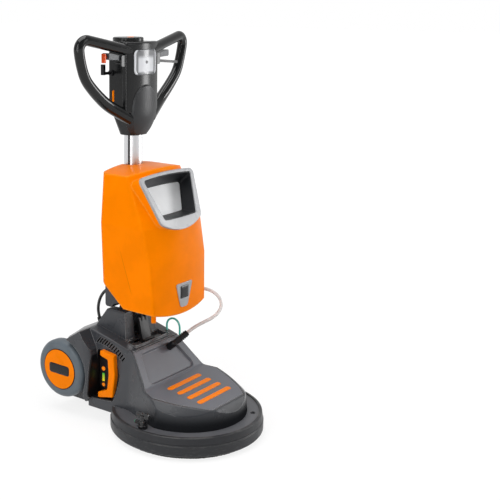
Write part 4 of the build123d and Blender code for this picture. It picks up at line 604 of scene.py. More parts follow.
def sheathed(name, colour, rough, coat, ribbed=0.12):
    """Extruded hose or sheath: faint rings along its own UV length, and handling clouds."""
    material, tree, shader, place = new_material(name)
    along = add_node(tree, "ShaderNodeTexCoord").outputs["UV"]
    rings = noise(tree, stretched(tree, along, (2.0, 900.0, 1.0)), 1.0, 2.0)
    cloud = use_effect(tree, "Handling", Vector=place, Scale=40.0)["Cloud"]
    tone = blend_colour(tree, cloud, scaled(colour, 0.88), lighter(colour, 0.05))
    fill(tree, shader, {
        "Base Color": blend_colour(tree, product(tree, rings, 0.2), tone, scaled(colour, 0.7)),
        "Roughness": ranged(tree, cloud, rough),
        "Coat Weight": coat,
    })
    roughen(tree, shader, rings, ribbed, HOSE_DEPTH)
    return material


def lamp_lens(name, colours):
    """Indicator lenses: orange, with the bar between them running from yellow up to green."""
    material, tree, shader, place = new_material(name)
    height = axes_of(tree, place)["Z"]
    bar = eased(tree, (height, LENS_FOOT), (height, LENS_TOP))
    rising = spread(tree, height, LENS_TURN, (0.0, 1.0))
    lit = blend_colour(tree, rising, colours.lens_foot, colours.lens_top)
    colour = blend_colour(tree, bar, colours.lens, lit)
    fill(tree, shader, {
        "Base Color": colour,
        "Emission Color": colour,
        "Emission Strength": 0.25,
        "Coat Weight": 0.6,
        "Roughness": spread(tree, noise(tree, place, 300.0), (0.3, 0.7), (0.12, 0.3)),
    })
    return material


def paint(material, *names):
    """Give CAD nodes a finish through their own material slots."""
    for name in names:
        for slot in NODES[name].material_slots:
            slot.material = material
        FINISHED.add(name)


# Mesh helpers


def grid_faces(rows, columns, around):
    """Index quads of a grid of points, its columns joined end to start where it goes around."""
    index = np.arange(rows * columns).reshape(rows, columns)
    ahead = np.roll(index, -1, axis=1)
    if not around:
        index, ahead = index[:, :-1], ahead[:, :-1]
    quads = np.stack([index[:-1], ahead[:-1], ahead[1:], index[1:]], axis=-1)
    return quads.reshape(-1, 4)


def fan_faces(ring, centre, forward):
    """Triangles that close a ring of indices on a middle point."""
    ahead = np.roll(ring, -1)
    middle = np.full_like(ring, centre)
    order = [middle, ring, ahead] if forward else [middle, ahead, ring]
    return np.stack(order, axis=-1)


def mesh_object(name, points, faces, smooth=True):
    """An object at the origin from points and a list of face index arrays."""
    mesh = bpy.data.meshes.new(name)
    mesh.from_pydata(points.tolist(), [], [face for part in faces for face in part.tolist()])
    mesh.polygons.foreach_set("use_smooth", np.full(len(mesh.polygons), smooth))
    mesh.update()
    piece = bpy.data.objects.new(name, mesh)
    bpy.context.scene.collection.objects.link(piece)
    return piece


def dress(piece, body, material):
    """Finish a new piece: its material and the body it rides on."""
    piece.data.materials.append(material)
    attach(piece, body)
    return piece


def full_turn(count):
    """Angles in equal steps round a full turn."""
    return np.linspace(0.0, 2 * np.pi, count, endpoint=False)


def rounded_rectangle(half_wide, half_tall, corner, steps=10):
    """Points of a rounded rectangle: four corner arcs, each a quarter turn about its own centre."""
    quarter = np.linspace(0.0, np.pi / 2, steps)
    turns = quarter[None, :] + np.arange(4)[:, None] * np.pi / 2
    side_x = np.array([1, -1, -1, 1])[:, None] * (half_wide - corner)
    side_y = np.array([1, 1, -1, -1])[:, None] * (half_tall - corner)
    return np.stack([side_x + corner * np.cos(turns), side_y + corner * np.sin(turns)], -1).reshape(-1, 2)


def rings_of(half_wide, half_tall, corner, profile):
    """Rings of a rounded rectangle, one for each (inset, height) of a profile, as (u, v, height)."""
    rings = []
    for inset, height in profile:
        outline = rounded_rectangle(half_wide - inset, half_tall - inset, max(corner - inset, 0.0002))
        rings.append(np.insert(outline, 2, height, axis=1))
    return np.stack(rings)


def on_plane(rings, place, across, up):
    """Rings of (u, v, height) set on a plane: place + u across + v up + height along their cross product."""
    across, up = np.array(across, float), np.array(up, float)
    out = np.cross(across, up)
    return np.array(place) + rings[..., :1] * across + rings[..., 1:2] * up + rings[..., 2:] * out


def stack_parts(rings):
    """Points and faces of rings joined one to the next, the first and last each closed on its own middle."""
    count, around = rings.shape[:2]
    first = np.arange(around)
    faces = [
        grid_faces(count, around, True),
        fan_faces(first, count * around, False),
        fan_faces(first + (count - 1) * around, count * around + 1, True),
    ]
    return np.concatenate([rings.reshape(-1, 3), rings[[0, -1]].mean(axis=1)]), faces


def closed_stack(name, rings):
    """An object of rings joined into a closed shape."""
    return mesh_object(name, *stack_parts(rings))


def crowned_plate(name, size, corner, thick, place, across, up, sunk=0.0005, crown=0.0002):
    """A plate with a rounded-rectangle outline, softened edge and slightly crowned face."""
    half_wide, half_tall = size[0] / 2, size[1] / 2
    soft = min(thick, 0.0012)
    profile = [(0.0, -sunk), (0.0, thick - soft), (0.3 * soft, thick - 0.3 * soft), (soft, thick)]
    profile += [(0.6 * min(half_wide, half_tall), thick + crown)]
    return closed_stack(name, on_plane(rings_of(half_wide, half_tall, corner, profile), place, across, up))


def ring_frame(name, rings):
    """A frame whose profile closes on itself: rings joined one to the next and the last to the first."""
    count, around = rings.shape[:2]
    quads = grid_faces(count + 1, around, True) % (count * around)
    return mesh_object(name, rings.reshape(-1, 3), [quads])


def screw_rings(radius, turns=36):
    """Rings of a domed screw head with a six-sided socket, as (u, v, height).

    The outer rings are circles. A ring of the socket has, at an angle t, the radius of a hexagon,
    its flat distance over cos(t folded into one sixth of a turn).
    """
    angle = full_turn(turns)
    folded = np.mod(angle, np.pi / 3) - np.pi / 6
    circle, hexagon = np.ones(turns), 1.0 / np.cos(folded)
    layers = [
        (circle, 1.0, -0.10), (circle, 1.0, 0.22), (circle, 0.93, 0.36), (circle, 0.74, 0.50),
        (hexagon, 0.46, 0.56), (hexagon, 0.42, 0.50), (hexagon, 0.42, 0.12),
    ]
    rings = []
    for form, share, height in layers:
        outline = np.stack([np.cos(angle), np.sin(angle)], axis=-1) * (radius * share * form)[:, None]
        rings.append(np.insert(outline, 2, radius * height, axis=1))
    return np.stack(rings)


def back_screws(name, radius, half, depth, heights):
    """Screw heads joined into one piece of the mast, on a face that looks backwards."""
    rings = screw_rings(radius)
    all_points, all_faces = [], []
    for x in (-half, half):
        for z in heights:
            points, faces = stack_parts(on_plane(rings, (x, depth, z), np.negative(ACROSS), UP))
            start = len(points) * len(all_points)
            all_points.append(points)
            all_faces += [part + start for part in faces]
    piece = mesh_object(name, np.concatenate(all_points), all_faces)
    dress(piece, "mast", bpy.data.materials["Plated_steel"])


def turned_rings(profile, place, axis, turns):
    """Rings of a profile of (radius, distance along the axis) carried round an axis."""
    axis = np.array(axis, float)
    side = np.cross(axis, UP if abs(axis[2]) < 0.9 else ACROSS)
    side = side / np.linalg.norm(side)
    other = np.cross(axis, side)
    angle = full_turn(turns)[None, :, None]
    radius, along = np.array(profile).T[:, :, None, None]
    return np.array(place) + radius * (np.cos(angle) * side + np.sin(angle) * other) + along * axis


# Cords


def spline_points(route):
    """Points read from the smooth spline that has a route as its control points."""
    curve = bpy.data.curves.new("route_line", "CURVE")
    curve.dimensions = "3D"
    curve.resolution_u = 16
    spline = curve.splines.new("NURBS")
    spline.points.add(len(route) - 1)
    spline.points.foreach_set("co", np.append(np.array(route), np.ones((len(route), 1)), axis=1).ravel())
    spline.order_u = 3
    spline.use_endpoint_u = True
    holder = bpy.data.objects.new("route_line", curve)
    line = bpy.data.meshes.new_from_object(holder)
    points = np.empty(len(line.vertices) * 3)
    line.vertices.foreach_get("co", points)
    bpy.data.objects.remove(holder)
    bpy.data.curves.remove(curve)
    bpy.data.meshes.remove(line)
    return points.reshape(-1, 3)


def hose_tube(name, path, radius, turns=20):
    """A round tube: at each point of a path, a circle in the plane square to the path.

    One side of every circle lies along the normal of the plane that fits the path best, made square
    to the path, so the circles don't twist. The UV map has the turn across and the length up.
    """
    heading = np.gradient(path, axis=0)
    heading /= np.linalg.norm(heading, axis=1)[:, None]
    steady = np.linalg.svd(path - path.mean(axis=0))[2][2]
    side = steady - heading * (heading @ steady)[:, None]
    side /= np.linalg.norm(side, axis=1)[:, None]
    other = np.cross(heading, side)
    angle = full_turn(turns)[None, :, None]
    rings = path[:, None] + radius * (np.cos(angle) * side[:, None] + np.sin(angle) * other[:, None])
    piece = closed_stack(name, rings)
    length = np.concatenate([[0.0], np.cumsum(np.linalg.norm(np.diff(path, axis=0), axis=1))])
    across = np.tile(np.arange(turns) / turns, len(path))
    along = np.repeat(length, turns)
    ends = np.array([[0.5, 0.0], [0.5, length[-1]]])
    by_point = np.concatenate([np.stack([across, along], axis=1), ends])
    corners = np.empty(len(piece.data.loops), np.int32)
    piece.data.loops.foreach_get("vertex_index", corners)
    layer = piece.data.uv_layers.new(name="Length")
    layer.data.foreach_set("uv", by_point[corners].ravel())
    return piece


def lay_cord(name, route, wide, node, material, crosses):
    """One cord on its route: on the chassis, or, where it crosses the mast's hinge, baked in place on no
    body.
    """
    path = spline_points(route)
    piece = hose_tube(name, path, wide / 2)
    piece.data.materials.append(material)
    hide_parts(node)
    paint(material, node)
    if crosses:
        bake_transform(piece)
    else:
        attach(piece, "chassis")


class BUFFER_OT_cords(bpy.types.Operator):
    """Hoses and control cable on their routes"""

    bl_idname = "buffer.cords"
    bl_label = "Hoses and cable"
    bl_options = {"REGISTER", "UNDO"}

    def execute(self, context):
        colours, sizes = context.scene.buffer_colours, context.scene.buffer_sizes
        milky = sheathed("Milky_hose", colours.clear, (0.18, 0.3), 0.4)
        fill(*shader_of(milky), {"Subsurface Weight": 0.15, "Subsurface Radius": (0.004, 0.004, 0.004)})
        sheath = sheathed("Cable_sheath", colours.cable, (0.3, 0.45), 0.1)
        thin = sheathed("Teal_tube", colours.teal, (0.15, 0.28), 0.5)
        lay_cord("solution_line", SOLUTION_ROUTE, sizes.solution_wide,
                 "solution_hose", milky, crosses=True)
        lay_cord("control_line", CABLE_ROUTE, sizes.cable_wide,
                 "control_cable", sheath, crosses=True)
        lay_cord("teal_line", TEAL_ROUTE, sizes.teal_wide,
                 "teal_hose", thin, crosses=False)
        return {"FINISHED"}


# Housing


def painted_foot_shade(material, colours):
    """Painted shade that darkens and dulls the dome towards the flange: eased by height, near its axis."""
    tree, shader = shader_of(material)
    place = object_place(tree)
    axes = axes_of(tree, place)
    flat = vector_math(tree, "MULTIPLY", place, (1.0, 1.0, 0.0))["Vector"]
    reach = vector_math(tree, "LENGTH", flat)["Value"]
    mask = eased(tree, (axes["Z"], DOME_SHADE), (reach, DOME_REACH), (axes["Y"], DOME_AHEAD))
    # painted shade: the housing colour darkened towards the flange
    overlay(tree, shader, product(tree, mask, 0.8), scaled(colours.housing, 0.12))
    feed(tree, shader.inputs["Specular IOR Level"], ranged(tree, mask, (SATIN_SHEEN, 0.0)))


def spout_plug(colours):
    """A green plug in the spout of the flange valve, turned about the spout's axis."""
    place = (VALVE_X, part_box("valve_base")[1].y, SPOUT_Z)
    plug = closed_stack("spout_plug", turned_rings(PLUG_PROFILE, place, BACKWARD, 40))
    dress(plug, "chassis", moulded("Green_plug", colours.green, (0.3, 0.4), grain=0.05))


def flange_grommet(black):
    """A rubber ring round the hole in the flange, its profile carried round an upright axis."""
    ring = ring_frame("flange_grommet", turned_rings(GROMMET_PROFILE, HOLE_PLACE, UP, 48))
    dress(ring, "chassis", black)


class BUFFER_OT_housing(bpy.types.Operator):
    """Body, lid, tower, base, bumper, side recesses and valve"""

    bl_idname = "buffer.housing"
    bl_label = "Housing"
    bl_options = {"REGISTER", "UNDO"}

    def execute(self, context):
        colours = context.scene.buffer_colours
        # The glint shares below paint a highlight along the mouldings' rounded edges
        satin = {"grain": 0.04, "edge": 0.0024, "painted_glint": 0.8, "dust": 0.03, "sheen": SATIN_SHEEN}
        paint(moulded("Charcoal_moulding", colours.housing, (0.26, 0.3), **satin), "tower_shroud")
        body = moulded("Body_moulding", colours.housing, (0.26, 0.3), **satin)
        # painted shade on the dome's wall towards the flange
        painted_foot_shade(body, colours)
        paint(body, "body_shell")
        paint(moulded("Lid_moulding", colours.lid, (0.34, 0.38), **satin), "deck_lid")
        orange = moulded("Orange_moulding", colours.orange, (0.26, 0.38), grain=0.06, dust=0.02, edge=0.0016,
                         painted_glint=0.3, sheen=0.15, tint=colours.orange, wear_and_highlight_colour=colours.edge)
        paint(orange, "deck_bars", "grab_right", "grab_left")
        paint(rubbery("Bumper_rubber", colours.bumper, (0.38, 0.54), 0.06, dust=0.3), "bumper_ring")
        casting = moulded("Painted_casting", colours.casting, (0.36, 0.48), grain=0.25, scale=500.0)
        paint(casting, "base_plate", "motor_housing", "driven_pulley", "motor_pulley")
        black = moulded("Black_fitting", colours.black, (0.3, 0.42), grain=0.1)
        paint(black, "pocket_right", "pocket_left", "strap_plate")
        paint(black, "elbow_fitting", "cable_gland", "control_box")
        # painted shade: the screens behind the vent slots are their black darkened further, so the slots
        # read as shade
        dim = scaled(colours.black, 0.4)
        paint(moulded("Screen_black", dim, (0.6, 0.7), grain=0.2, dust=0.0, sheen=0.05), "vent_screens")
        # painted highlight along the valve's rounded edges
        shiny = {"grain": 0.03, "edge": 0.0012, "painted_glint": 0.5, "coat": 0.4}
        paint(moulded("Valve_black", colours.black, (0.14, 0.22), **shiny), "valve_base", "valve_knob")
        paint(lamp_lens("Indicator_lens", colours), "indicator_lenses")
        spout_plug(colours)
        flange_grommet(black)
        return {"FINISHED"}


# Wheels


def dark_rim(material, colours):
    """A dark line round a cap's edge: eased by the distance from the wheel's axis."""
    tree, shader = shader_of(material)
    low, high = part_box("cap_right")
    axle = (0.0, (low.y + high.y) / 2, (low.z + high.z) / 2)
    offset = vector_math(tree, "SUBTRACT", object_place(tree), axle)["Vector"]
    flat = vector_math(tree, "MULTIPLY", offset, (0.0, 1.0, 1.0))["Vector"]
    reach = vector_math(tree, "LENGTH", flat)["Value"]
    radius = (high.z - low.z) / 2
    overlay(tree, shader, smooth_step(tree, reach, radius - CAP_RIM, radius - CAP_RIM / 2), colours.black)


class BUFFER_OT_wheels(bpy.types.Operator):
    """Tyres, wheel caps and the bare plate on each cap"""

    bl_idname = "buffer.wheels"
    bl_label = "Wheels"
    bl_options = {"REGISTER", "UNDO"}

    def execute(self, context):
        colours, sizes = context.scene.buffer_colours, context.scene.buffer_sizes
        paint(rubbery("Tyre_rubber", colours.tyre, (0.3, 0.46), 0.1), "wheel_right", "wheel_left")
        plain = moulded("Cap_plate", colours.black, (0.24, 0.34), grain=0.05)
        cap = moulded("Cap_orange", colours.orange, (0.26, 0.38), grain=0.06, dust=0.02, sheen=0.1,
                      tint=colours.orange)
        dark_rim(cap, colours)
        paint(cap, "cap_right", "cap_left")
        for side, name, body in ((-1, "cap_right", "right_wheel"), (1, "cap_left", "left_wheel")):
            low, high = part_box(name)
            face = low.x if side < 0 else high.x
            place = (face, (low.y + high.y) / 2, (low.z + high.z) / 2)
            size = (sizes.label_long, sizes.label_tall)
            plate = crowned_plate("plate_" + name, size, *LABEL_EDGE, place, (0.0, side, 0.0), UP)
            dress(plate, body, plain)
        return {"FINISHED"}


# Tank


def painted_crease_shade(material, colours):
    """Painted shade of a crease on each side of the tank: a faint dark line between two places in Y and Z.
    """
    tree, shader = shader_of(material)
    axes = axes_of(tree, object_place(tree))
    upper, lower = np.array(SIDE_LINE)
    run = lower - upper
    across = np.array([run[1], -run[0]]) / np.linalg.norm(run)
    part = arithmetic(tree, "MULTIPLY_ADD", axes["Y"], float(across[0]), -float(across @ upper))
    signed = arithmetic(tree, "MULTIPLY_ADD", axes["Z"], float(across[1]), part)
    offset = arithmetic(tree, "ABSOLUTE", signed)
    width = arithmetic(tree, "ABSOLUTE", axes["X"])
    ends = eased(tree, (axes["Z"], SIDE_LINE_FOOT), (axes["Z"], SIDE_LINE_TOP))
    line = product(tree, eased(tree, (offset, SIDE_LINE_EDGE), (width, SIDE_LINE_X)), ends)
    # painted shade: the tank colour darkened along the crease
    overlay(tree, shader, product(tree, line, 0.35), scaled(colours.tank, 0.35))


class BUFFER_OT_tank(bpy.types.Operator):
    """Tank, hopper, bezel, badge and bracket"""

    bl_idname = "buffer.tank"
    bl_label = "Tank"
    bl_options = {"REGISTER", "UNDO"}

    def execute(self, context):
        colours, sizes = context.scene.buffer_colours, context.scene.buffer_sizes
        # painted highlight along the tank's rounded edges, in the orange edge colour
        tank = moulded("Tank_moulding", colours.tank, (0.28, 0.38), grain=0.08, scale=500.0, dust=0.0,
                       edge=0.008, painted_glint=0.5, sheen=0.05, tint=colours.tank, wear_and_highlight_colour=colours.edge)
        # painted shade of a crease on each side
        painted_crease_shade(tank, colours)
        paint(tank, "tank_shell")
        paint(moulded("Dark_liner", colours.liner, (0.34, 0.48), grain=0.12), "hopper_liner")
        paint(moulded("Bracket_moulding", colours.bracket, (0.34, 0.46), grain=0.12), "tank_bracket")
        paint(moulded("Pale_panel", colours.panel, (0.3, 0.42), grain=0.08, dust=0.05), "hopper_back")
        # painted highlight along the trim's rounded edges
        silver = moulded("Silver_trim", colours.silver, (0.22, 0.34), grain=0.03, wear=0.1, dust=0.03,
                         edge=0.002, painted_glint=0.6, sheen=0.35)
        paint(silver, "bezel", "badge")
        low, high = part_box("badge")
        size = (sizes.badge_wide, sizes.badge_wide)
        place = (0.0, low.y, high.z - INSET_DROP)
        inset = crowned_plate("badge_inset", size, *INSET_EDGE, place, ACROSS, UP)
        dress(inset, "mast", moulded("Badge_inset", colours.black, (0.2, 0.3), grain=0.05))
        return {"FINISHED"}


# Mast


def cover_strips(colours):
    """A dark strip down each side of the mast.

    Each strip is a stretch of the tube's own cylinder, a little proud of it: an arc about the mast's
    axis, carried up from the tank's foot to the neck, with its edges turned in.
    """
    low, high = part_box("mast_tube")
    middle_y, radius = (low.y + high.y) / 2, (high.x - low.x) / 2
    rubber = rubbery("Strip_rubber", colours.bumper, (0.4, 0.55), 0.02)
    turns, proud = np.array(STRIP_PROFILE).T
    reach = radius + proud * STRIP_PROUD
    heights = np.linspace(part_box("tank_shell")[0].z, high.z - STRIP_SHORT, 40)
    for side, name in ((-1.0, "strip_right"), (1.0, "strip_left")):
        angle = side * (np.pi / 2 - STRIP_AHEAD + turns * STRIP_WIDE / (2 * radius))
        ring = np.stack([reach * np.sin(angle), middle_y - reach * np.cos(angle)], axis=-1)
        rings = np.stack([np.insert(ring, 2, height, axis=1) for height in heights])
        rings = rings if side > 0 else rings[:, ::-1]
        dress(closed_stack(name, rings), "mast", rubber)


class BUFFER_OT_mast(bpy.types.Operator):
    """Mast tube with its strips, steel fittings and the bracket's screws"""

    bl_idname = "buffer.mast"
    bl_label = "Mast"
    bl_options = {"REGISTER", "UNDO"}

    def execute(self, context):
        colours, sizes = context.scene.buffer_colours, context.scene.buffer_sizes
        paint(plated("Mast_aluminium", colours.aluminium, (0.32, 0.36), drawn=0.03), "mast_tube")
        steel = plated("Plated_steel", colours.steel, (0.16, 0.3), drawn=0.12)
        paint(steel, "foot_bracket", "clamp_lever", "mast_yoke", "axle", "pivot_pin", "drive_shaft")
        paint(steel, "shaft_bearings", "motor_stator", "motor_rotor")
        half, drops = BRACKET_SCREWS
        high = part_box("tank_bracket")[1]
        back_screws("bracket_screws", sizes.screw_head, half, high.y, [high.z - drop for drop in drops])
        cover_strips(colours)
        return {"FINISHED"}


# Handle


def head_marks(colours):
    """Bare orange marks on the top cap and on the right side of the head."""
    orange = moulded("Mark_orange", colours.orange, (0.26, 0.38), grain=0.04, wear=0.0, dust=0.0,
                     edge=0.0003, sheen=0.1, tint=colours.orange)
    low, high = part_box("head_rear")
    cap_mark = crowned_plate("cap_mark", *CAP_MARK, (0.0, CAP_MARK_Y, high.z), ACROSS, BACKWARD)
    dress(cap_mark, "mast", orange)
    side_mark = crowned_plate("side_mark", *SIDE_MARK, (low.x, *SIDE_MARK_YZ), np.negative(BACKWARD), UP)
    dress(side_mark, "mast", orange)


def painted_side_highlights(material, colours, half_wide):
    """A frame with a painted highlight along its two upright sides, eased by the distance from its middle.
    """
    tree, shader = shader_of(material)
    width = arithmetic(tree, "ABSOLUTE", axes_of(tree, object_place(tree))["X"])
    sides = smooth_step(tree, width, half_wide - FRAME_HIGHLIGHT[0], half_wide - FRAME_HIGHLIGHT[1])
    # painted highlight: the window's pale colour laid on the frame's upright sides
    overlay(tree, shader, sides, colours.window)


def frosted_panel(name, colours, middle):
    """A pale panel that darkens towards its top, foot and sides, round a dark screw in its middle."""
    material, tree, shader, place = new_material(name)
    axes = axes_of(tree, place)
    rise = arithmetic(tree, "SUBTRACT", axes["Z"], middle)
    width = arithmetic(tree, "ABSOLUTE", axes["X"])
    inside = eased(tree, (rise, PANEL_TOP), (rise, PANEL_FOOT), (width, PANEL_SIDE))
    grain = noise(tree, place, 900.0, 2.0)
    pale = blend_colour(tree, grain, scaled(colours.window, 0.92), colours.window)
    banded = blend_colour(tree, inside, scaled(colours.window, 0.28), pale)
    offset = add_node(tree, "ShaderNodeCombineXYZ", {"X": width, "Z": rise}).outputs["Vector"]
    screw = smooth_step(tree, vector_math(tree, "LENGTH", offset)["Value"], *PANEL_SCREW)
    fill(tree, shader, {
        "Base Color": blend_colour(tree, screw, banded, colours.lever),
        "Roughness": ranged(tree, inside, (0.18, 0.32)),
    })
    return material


def head_window(colours):
    """The window's finish, and a slim frame round it: a rounded rectangle bent onto the head's bow.

    The bow is the circle through the head's middle and both side corners, so a point at width x
    lies sqrt(r^2 - x^2) in front of the circle's centre.
    """
    low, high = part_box("window_plate")
    middle = (low.z + high.z) / 2
    paint(frosted_panel("Window_panel", colours, middle), "window_plate")
    half_wide, half_tall = (high.x - low.x) / 2, (high.z - low.z) / 2
    rings = rings_of(half_wide, half_tall, WINDOW_CORNER, WINDOW_PROFILE)
    rise = HEAD_SIDE[1] - HEAD_FRONT_Y
    radius = (HEAD_SIDE[0] ** 2 + rise**2) / (2 * rise)
    depth = HEAD_FRONT_Y + radius - np.sqrt(radius**2 - rings[..., 0] ** 2)
    bent = np.stack([rings[..., 0], depth - rings[..., 2], middle + rings[..., 1]], axis=-1)
    frame_piece = ring_frame("window_frame", bent)
    trim = moulded("Window_trim", colours.lever, (0.14, 0.2), grain=0.02, dust=0.0, coat=0.5)
    # painted highlight along the frame's upright sides
    painted_side_highlights(trim, colours, half_wide)
    dress(frame_piece, "mast", trim)


class BUFFER_OT_handle(bpy.types.Operator):
    """Head, loops, levers, window frame, marks and the case's screws"""

    bl_idname = "buffer.handle"
    bl_label = "Handle"
    bl_options = {"REGISTER", "UNDO"}

    def execute(self, context):
        colours, sizes = context.scene.buffer_colours, context.scene.buffer_sizes
        # painted highlight along the head's and loops' rounded edges
        smooth = {"grain": 0.012, "wear": 0.08, "dust": 0.0, "edge": 0.002, "painted_glint": 0.15}
        gloss = moulded("Handle_black", colours.handle, (0.14, 0.22), coat=0.5, sheen=0.1, **smooth)
        paint(gloss, "loop_right", "loop_left")
        case = moulded("Head_black", colours.handle, (0.2, 0.26), sheen=0.32, **smooth)
        paint(case, "head_front", "head_rear", "neck_collar")
        paint(moulded("Boss_matt", colours.boss, (0.34, 0.42), grain=0.06, dust=0.0), "boss_cover")
        paint(bpy.data.materials["Black_fitting"], "hook_right", "hook_left", "release_lever")
        paint(moulded("Lever_grey", colours.lever, (0.3, 0.42)), "trigger_right", "trigger_left")
        paint(moulded("Button_red", colours.button, (0.26, 0.36), grain=0.05), "safety_button")
        head_window(colours)
        head_marks(colours)
        half, heights = CASE_SCREWS
        back_screws("case_screws", sizes.screw_head, half, HEAD_BACK_Y, heights)
        return {"FINISHED"}


# Drive


def fibre_disc(fibre):
    """A disc with a ragged edge: its profile carried round, the rim's radius shaken by noise."""
    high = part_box("pad")[1]
    shape = (PAD_ROWS, PAD_TURNS)
    rng = np.random.default_rng(PAD_SEED)
    angle = full_turn(PAD_TURNS)
    heights = np.linspace(PAD_GAP, high.z - PAD_GAP, PAD_ROWS)
    bulge = PAD_BULGE * np.sin(np.pi * np.arange(PAD_ROWS) / (PAD_ROWS - 1))
    reach = high.x - PAD_DRAWN_IN + bulge[:, None] + rng.uniform(-PAD_SHAKE, PAD_SHAKE, shape)
    upright = np.broadcast_to(heights[:, None], shape)
    side = np.stack([reach * np.cos(angle), reach * np.sin(angle), upright], axis=-1)
    inner = side[[0, -1]] * (0.5, 0.5, 1.0)
    piece = closed_stack("fibre_pad", np.concatenate([inner[:1], side, inner[1:]]))
    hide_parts("pad")
    dress(piece, "pad_disc", fibre)


class BUFFER_OT_drive(bpy.types.Operator):
    """Pad, pad driver and belt"""

    bl_idname = "buffer.drive"
    bl_label = "Drive"
    bl_options = {"REGISTER", "UNDO"}

    def execute(self, context):
        colours = context.scene.buffer_colours
        paint(moulded("Driver_moulding", colours.driver, (0.4, 0.55)), "pad_driver")
        paint(rubbery("Belt_rubber", colours.bumper, (0.5, 0.65), 0.02), "drive_belt")
        # The pad's near-black colour is partly its own dark colour, partly painted shade under the bumper
        fibre = rubbery("Pad_fibre", colours.fibre, (0.8, 0.95), 0.02)
        paint(fibre, "pad")
        fibre_disc(fibre)
        return {"FINISHED"}


# Stage


def studio_floor(colour):
    """A flat floor, white to the camera where nothing shades it."""
    side = np.linspace(-FLOOR_HALF, FLOOR_HALF, FLOOR_POINTS)
    x, y = np.meshgrid(side, side)
    points = np.stack([x, y, np.zeros_like(x)], axis=-1).reshape(-1, 3)
    faces = [grid_faces(FLOOR_POINTS, FLOOR_POINTS, False)]
    floor = mesh_object("studio_floor", points, faces, smooth=False)
    material, tree, shader, place = new_material("Pale_floor")
    tone = blend_colour(tree, noise(tree, place, 1.5, 3.0), scaled(colour, 0.985), colour)
    fill(tree, shader, {"Base Color": tone, "Roughness": 0.9, "Specular IOR Level": 0.0})
    glow = add_node(tree, "ShaderNodeEmission", {"Color": (1.0, 1.0, 1.0), "Strength": FLOOR_LEVEL})
    rays = add_node(tree, "ShaderNodeLightPath").outputs
    seen = arithmetic(tree, "MAXIMUM", rays["Is Camera Ray"], rays["Is Glossy Ray"])
    away = vector_math(tree, "LENGTH", place)["Value"]
    grown = ranged(tree, smooth_step(tree, away, *FLOOR_FADE), (FLOOR_GLOW, 1.0))
    sides = {0: product(tree, seen, grown), 1: shader.outputs["BSDF"], 2: glow.outputs["Emission"]}
    mixed = add_node(tree, "ShaderNodeMixShader", sides)
    output = next(node for node in tree.nodes if node.type == "OUTPUT_MATERIAL")
    feed(tree, output.inputs["Surface"], mixed.outputs["Shader"])
    floor.data.materials.append(material)


def studio_world(scene):
    """White to the camera, white behind the object in reflections, and a softer level elsewhere."""
    world = bpy.data.worlds.new("Studio_world")
    world.use_nodes = True
    tree = world.node_tree
    tree.nodes.clear()
    rays = add_node(tree, "ShaderNodeLightPath").outputs
    seen = arithmetic(tree, "MAXIMUM", rays["Is Camera Ray"], rays["Is Transmission Ray"])
    yaw = np.radians(CAMERA_YAW)
    away = (float(-np.sin(yaw)), float(np.cos(yaw)), 0.0)
    heading = add_node(tree, "ShaderNodeTexCoord").outputs["Generated"]
    facing = vector_math(tree, "DOT_PRODUCT", heading, away)["Value"]
    behind = smooth_step(tree, facing, *MIRROR_FADE)
    mirrored = product(tree, behind, rays["Is Glossy Ray"], MIRRORED)
    strength = ranged(tree, arithmetic(tree, "MAXIMUM", seen, mirrored), (AMBIENT, 1.0))
    background = add_node(tree, "ShaderNodeBackground", {"Color": (1.0, 1.0, 1.0), "Strength": strength})
    add_node(tree, "ShaderNodeOutputWorld", {"Surface": background.outputs["Background"]})
    scene.world = world


def stand(scene, name, data, place, forward):
    """A lamp or camera stood at a place and turned along a direction."""
    holder = bpy.data.objects.new(name, data)
    holder.location = place
    holder.rotation_euler = forward.to_track_quat("-Z", "Y").to_euler()
    scene.collection.objects.link(holder)
    return holder


def softbox(scene, name, place, target, size, watts):
    """A rectangular softbox turned to a target."""
    light = bpy.data.lights.new(name, "AREA")
    light.shape = "RECTANGLE"
    light.size, light.size_y = size
    light.energy = watts
    stand(scene, name, light, place, Vector(target) - Vector(place))


def photo_camera(scene):
    """The photograph's camera: its place, turn, focal length and framing."""
    yaw, pitch = np.radians(CAMERA_YAW), np.radians(CAMERA_PITCH)
    forward = Vector((-np.sin(yaw) * np.cos(pitch), np.cos(yaw) * np.cos(pitch), -np.sin(pitch)))
    lens = bpy.data.cameras.new("Photo_camera")
    lens.sensor_width = SENSOR
    lens.lens = FOCAL_PIXELS / IMAGE_SIDE * SENSOR
    lens.shift_x = (IMAGE_SIDE / 2 - PRINCIPAL_X) / IMAGE_SIDE
    lens.clip_end = 100.0
    scene.camera = stand(scene, "Photo_camera", lens, CAMERA_PLACE, forward)


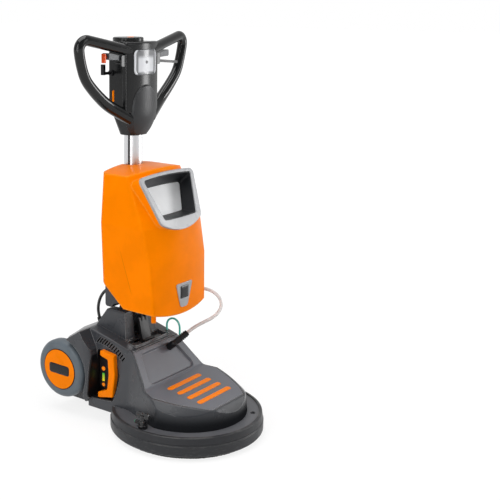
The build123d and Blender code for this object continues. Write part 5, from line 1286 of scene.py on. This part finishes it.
class BUFFER_OT_stage(bpy.types.Operator):
    """Pale floor, soft studio light and the camera"""

    bl_idname = "buffer.stage"
    bl_label = "Stage"
    bl_options = {"REGISTER", "UNDO"}

    def execute(self, context):
        scene = context.scene
        studio_floor(scene.buffer_colours.floor)
        studio_world(scene)
        for lamp in LAMPS:
            softbox(scene, *lamp)
        photo_camera(scene)
        scene.view_settings.view_transform = "Standard"
        return {"FINISHED"}


# Sidebar, registration and the run


OPERATORS = (
    BUFFER_OT_stage, BUFFER_OT_cords, BUFFER_OT_housing, BUFFER_OT_wheels, BUFFER_OT_tank, BUFFER_OT_mast,
    BUFFER_OT_handle, BUFFER_OT_drive,
)


class BUFFER_PT_sidebar(bpy.types.Panel):
    """Sidebar panel that lists the steps"""

    bl_idname = "BUFFER_PT_sidebar"
    bl_label = "Floor buffer"
    bl_space_type = "VIEW_3D"
    bl_region_type = "UI"
    bl_category = "Buffer"

    def draw(self, context):
        for operator in OPERATORS:
            self.layout.operator(operator.bl_idname)
        for settings in (context.scene.buffer_colours, context.scene.buffer_sizes):
            box = self.layout.box()
            for name in settings.__annotations__:
                box.prop(settings, name)


CLASSES = (BufferColours, BufferSizes, *OPERATORS, BUFFER_PT_sidebar)


def register():
    """Register the classes and their settings on the scene."""
    for item in CLASSES:
        bpy.utils.register_class(item)
    bpy.types.Scene.buffer_colours = bpy.props.PointerProperty(type=BufferColours)
    bpy.types.Scene.buffer_sizes = bpy.props.PointerProperty(type=BufferSizes)


def unregister():
    """Take the settings and classes out again."""
    del bpy.types.Scene.buffer_sizes
    del bpy.types.Scene.buffer_colours
    for item in reversed(CLASSES):
        bpy.utils.unregister_class(item)


def main():
    """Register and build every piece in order."""
    register()
    for make in EFFECT_MAKERS:
        make()
    bpy.ops.buffer.stage()
    bpy.ops.buffer.cords()
    bpy.ops.buffer.housing()
    bpy.ops.buffer.wheels()
    bpy.ops.buffer.tank()
    bpy.ops.buffer.mast()
    bpy.ops.buffer.handle()
    bpy.ops.buffer.drive()
    bare = sorted(set(NODES) - FINISHED)
    if bare:
        raise RuntimeError(f"nodes without a finish: {bare}")


if __name__ == "__main__":
    main()
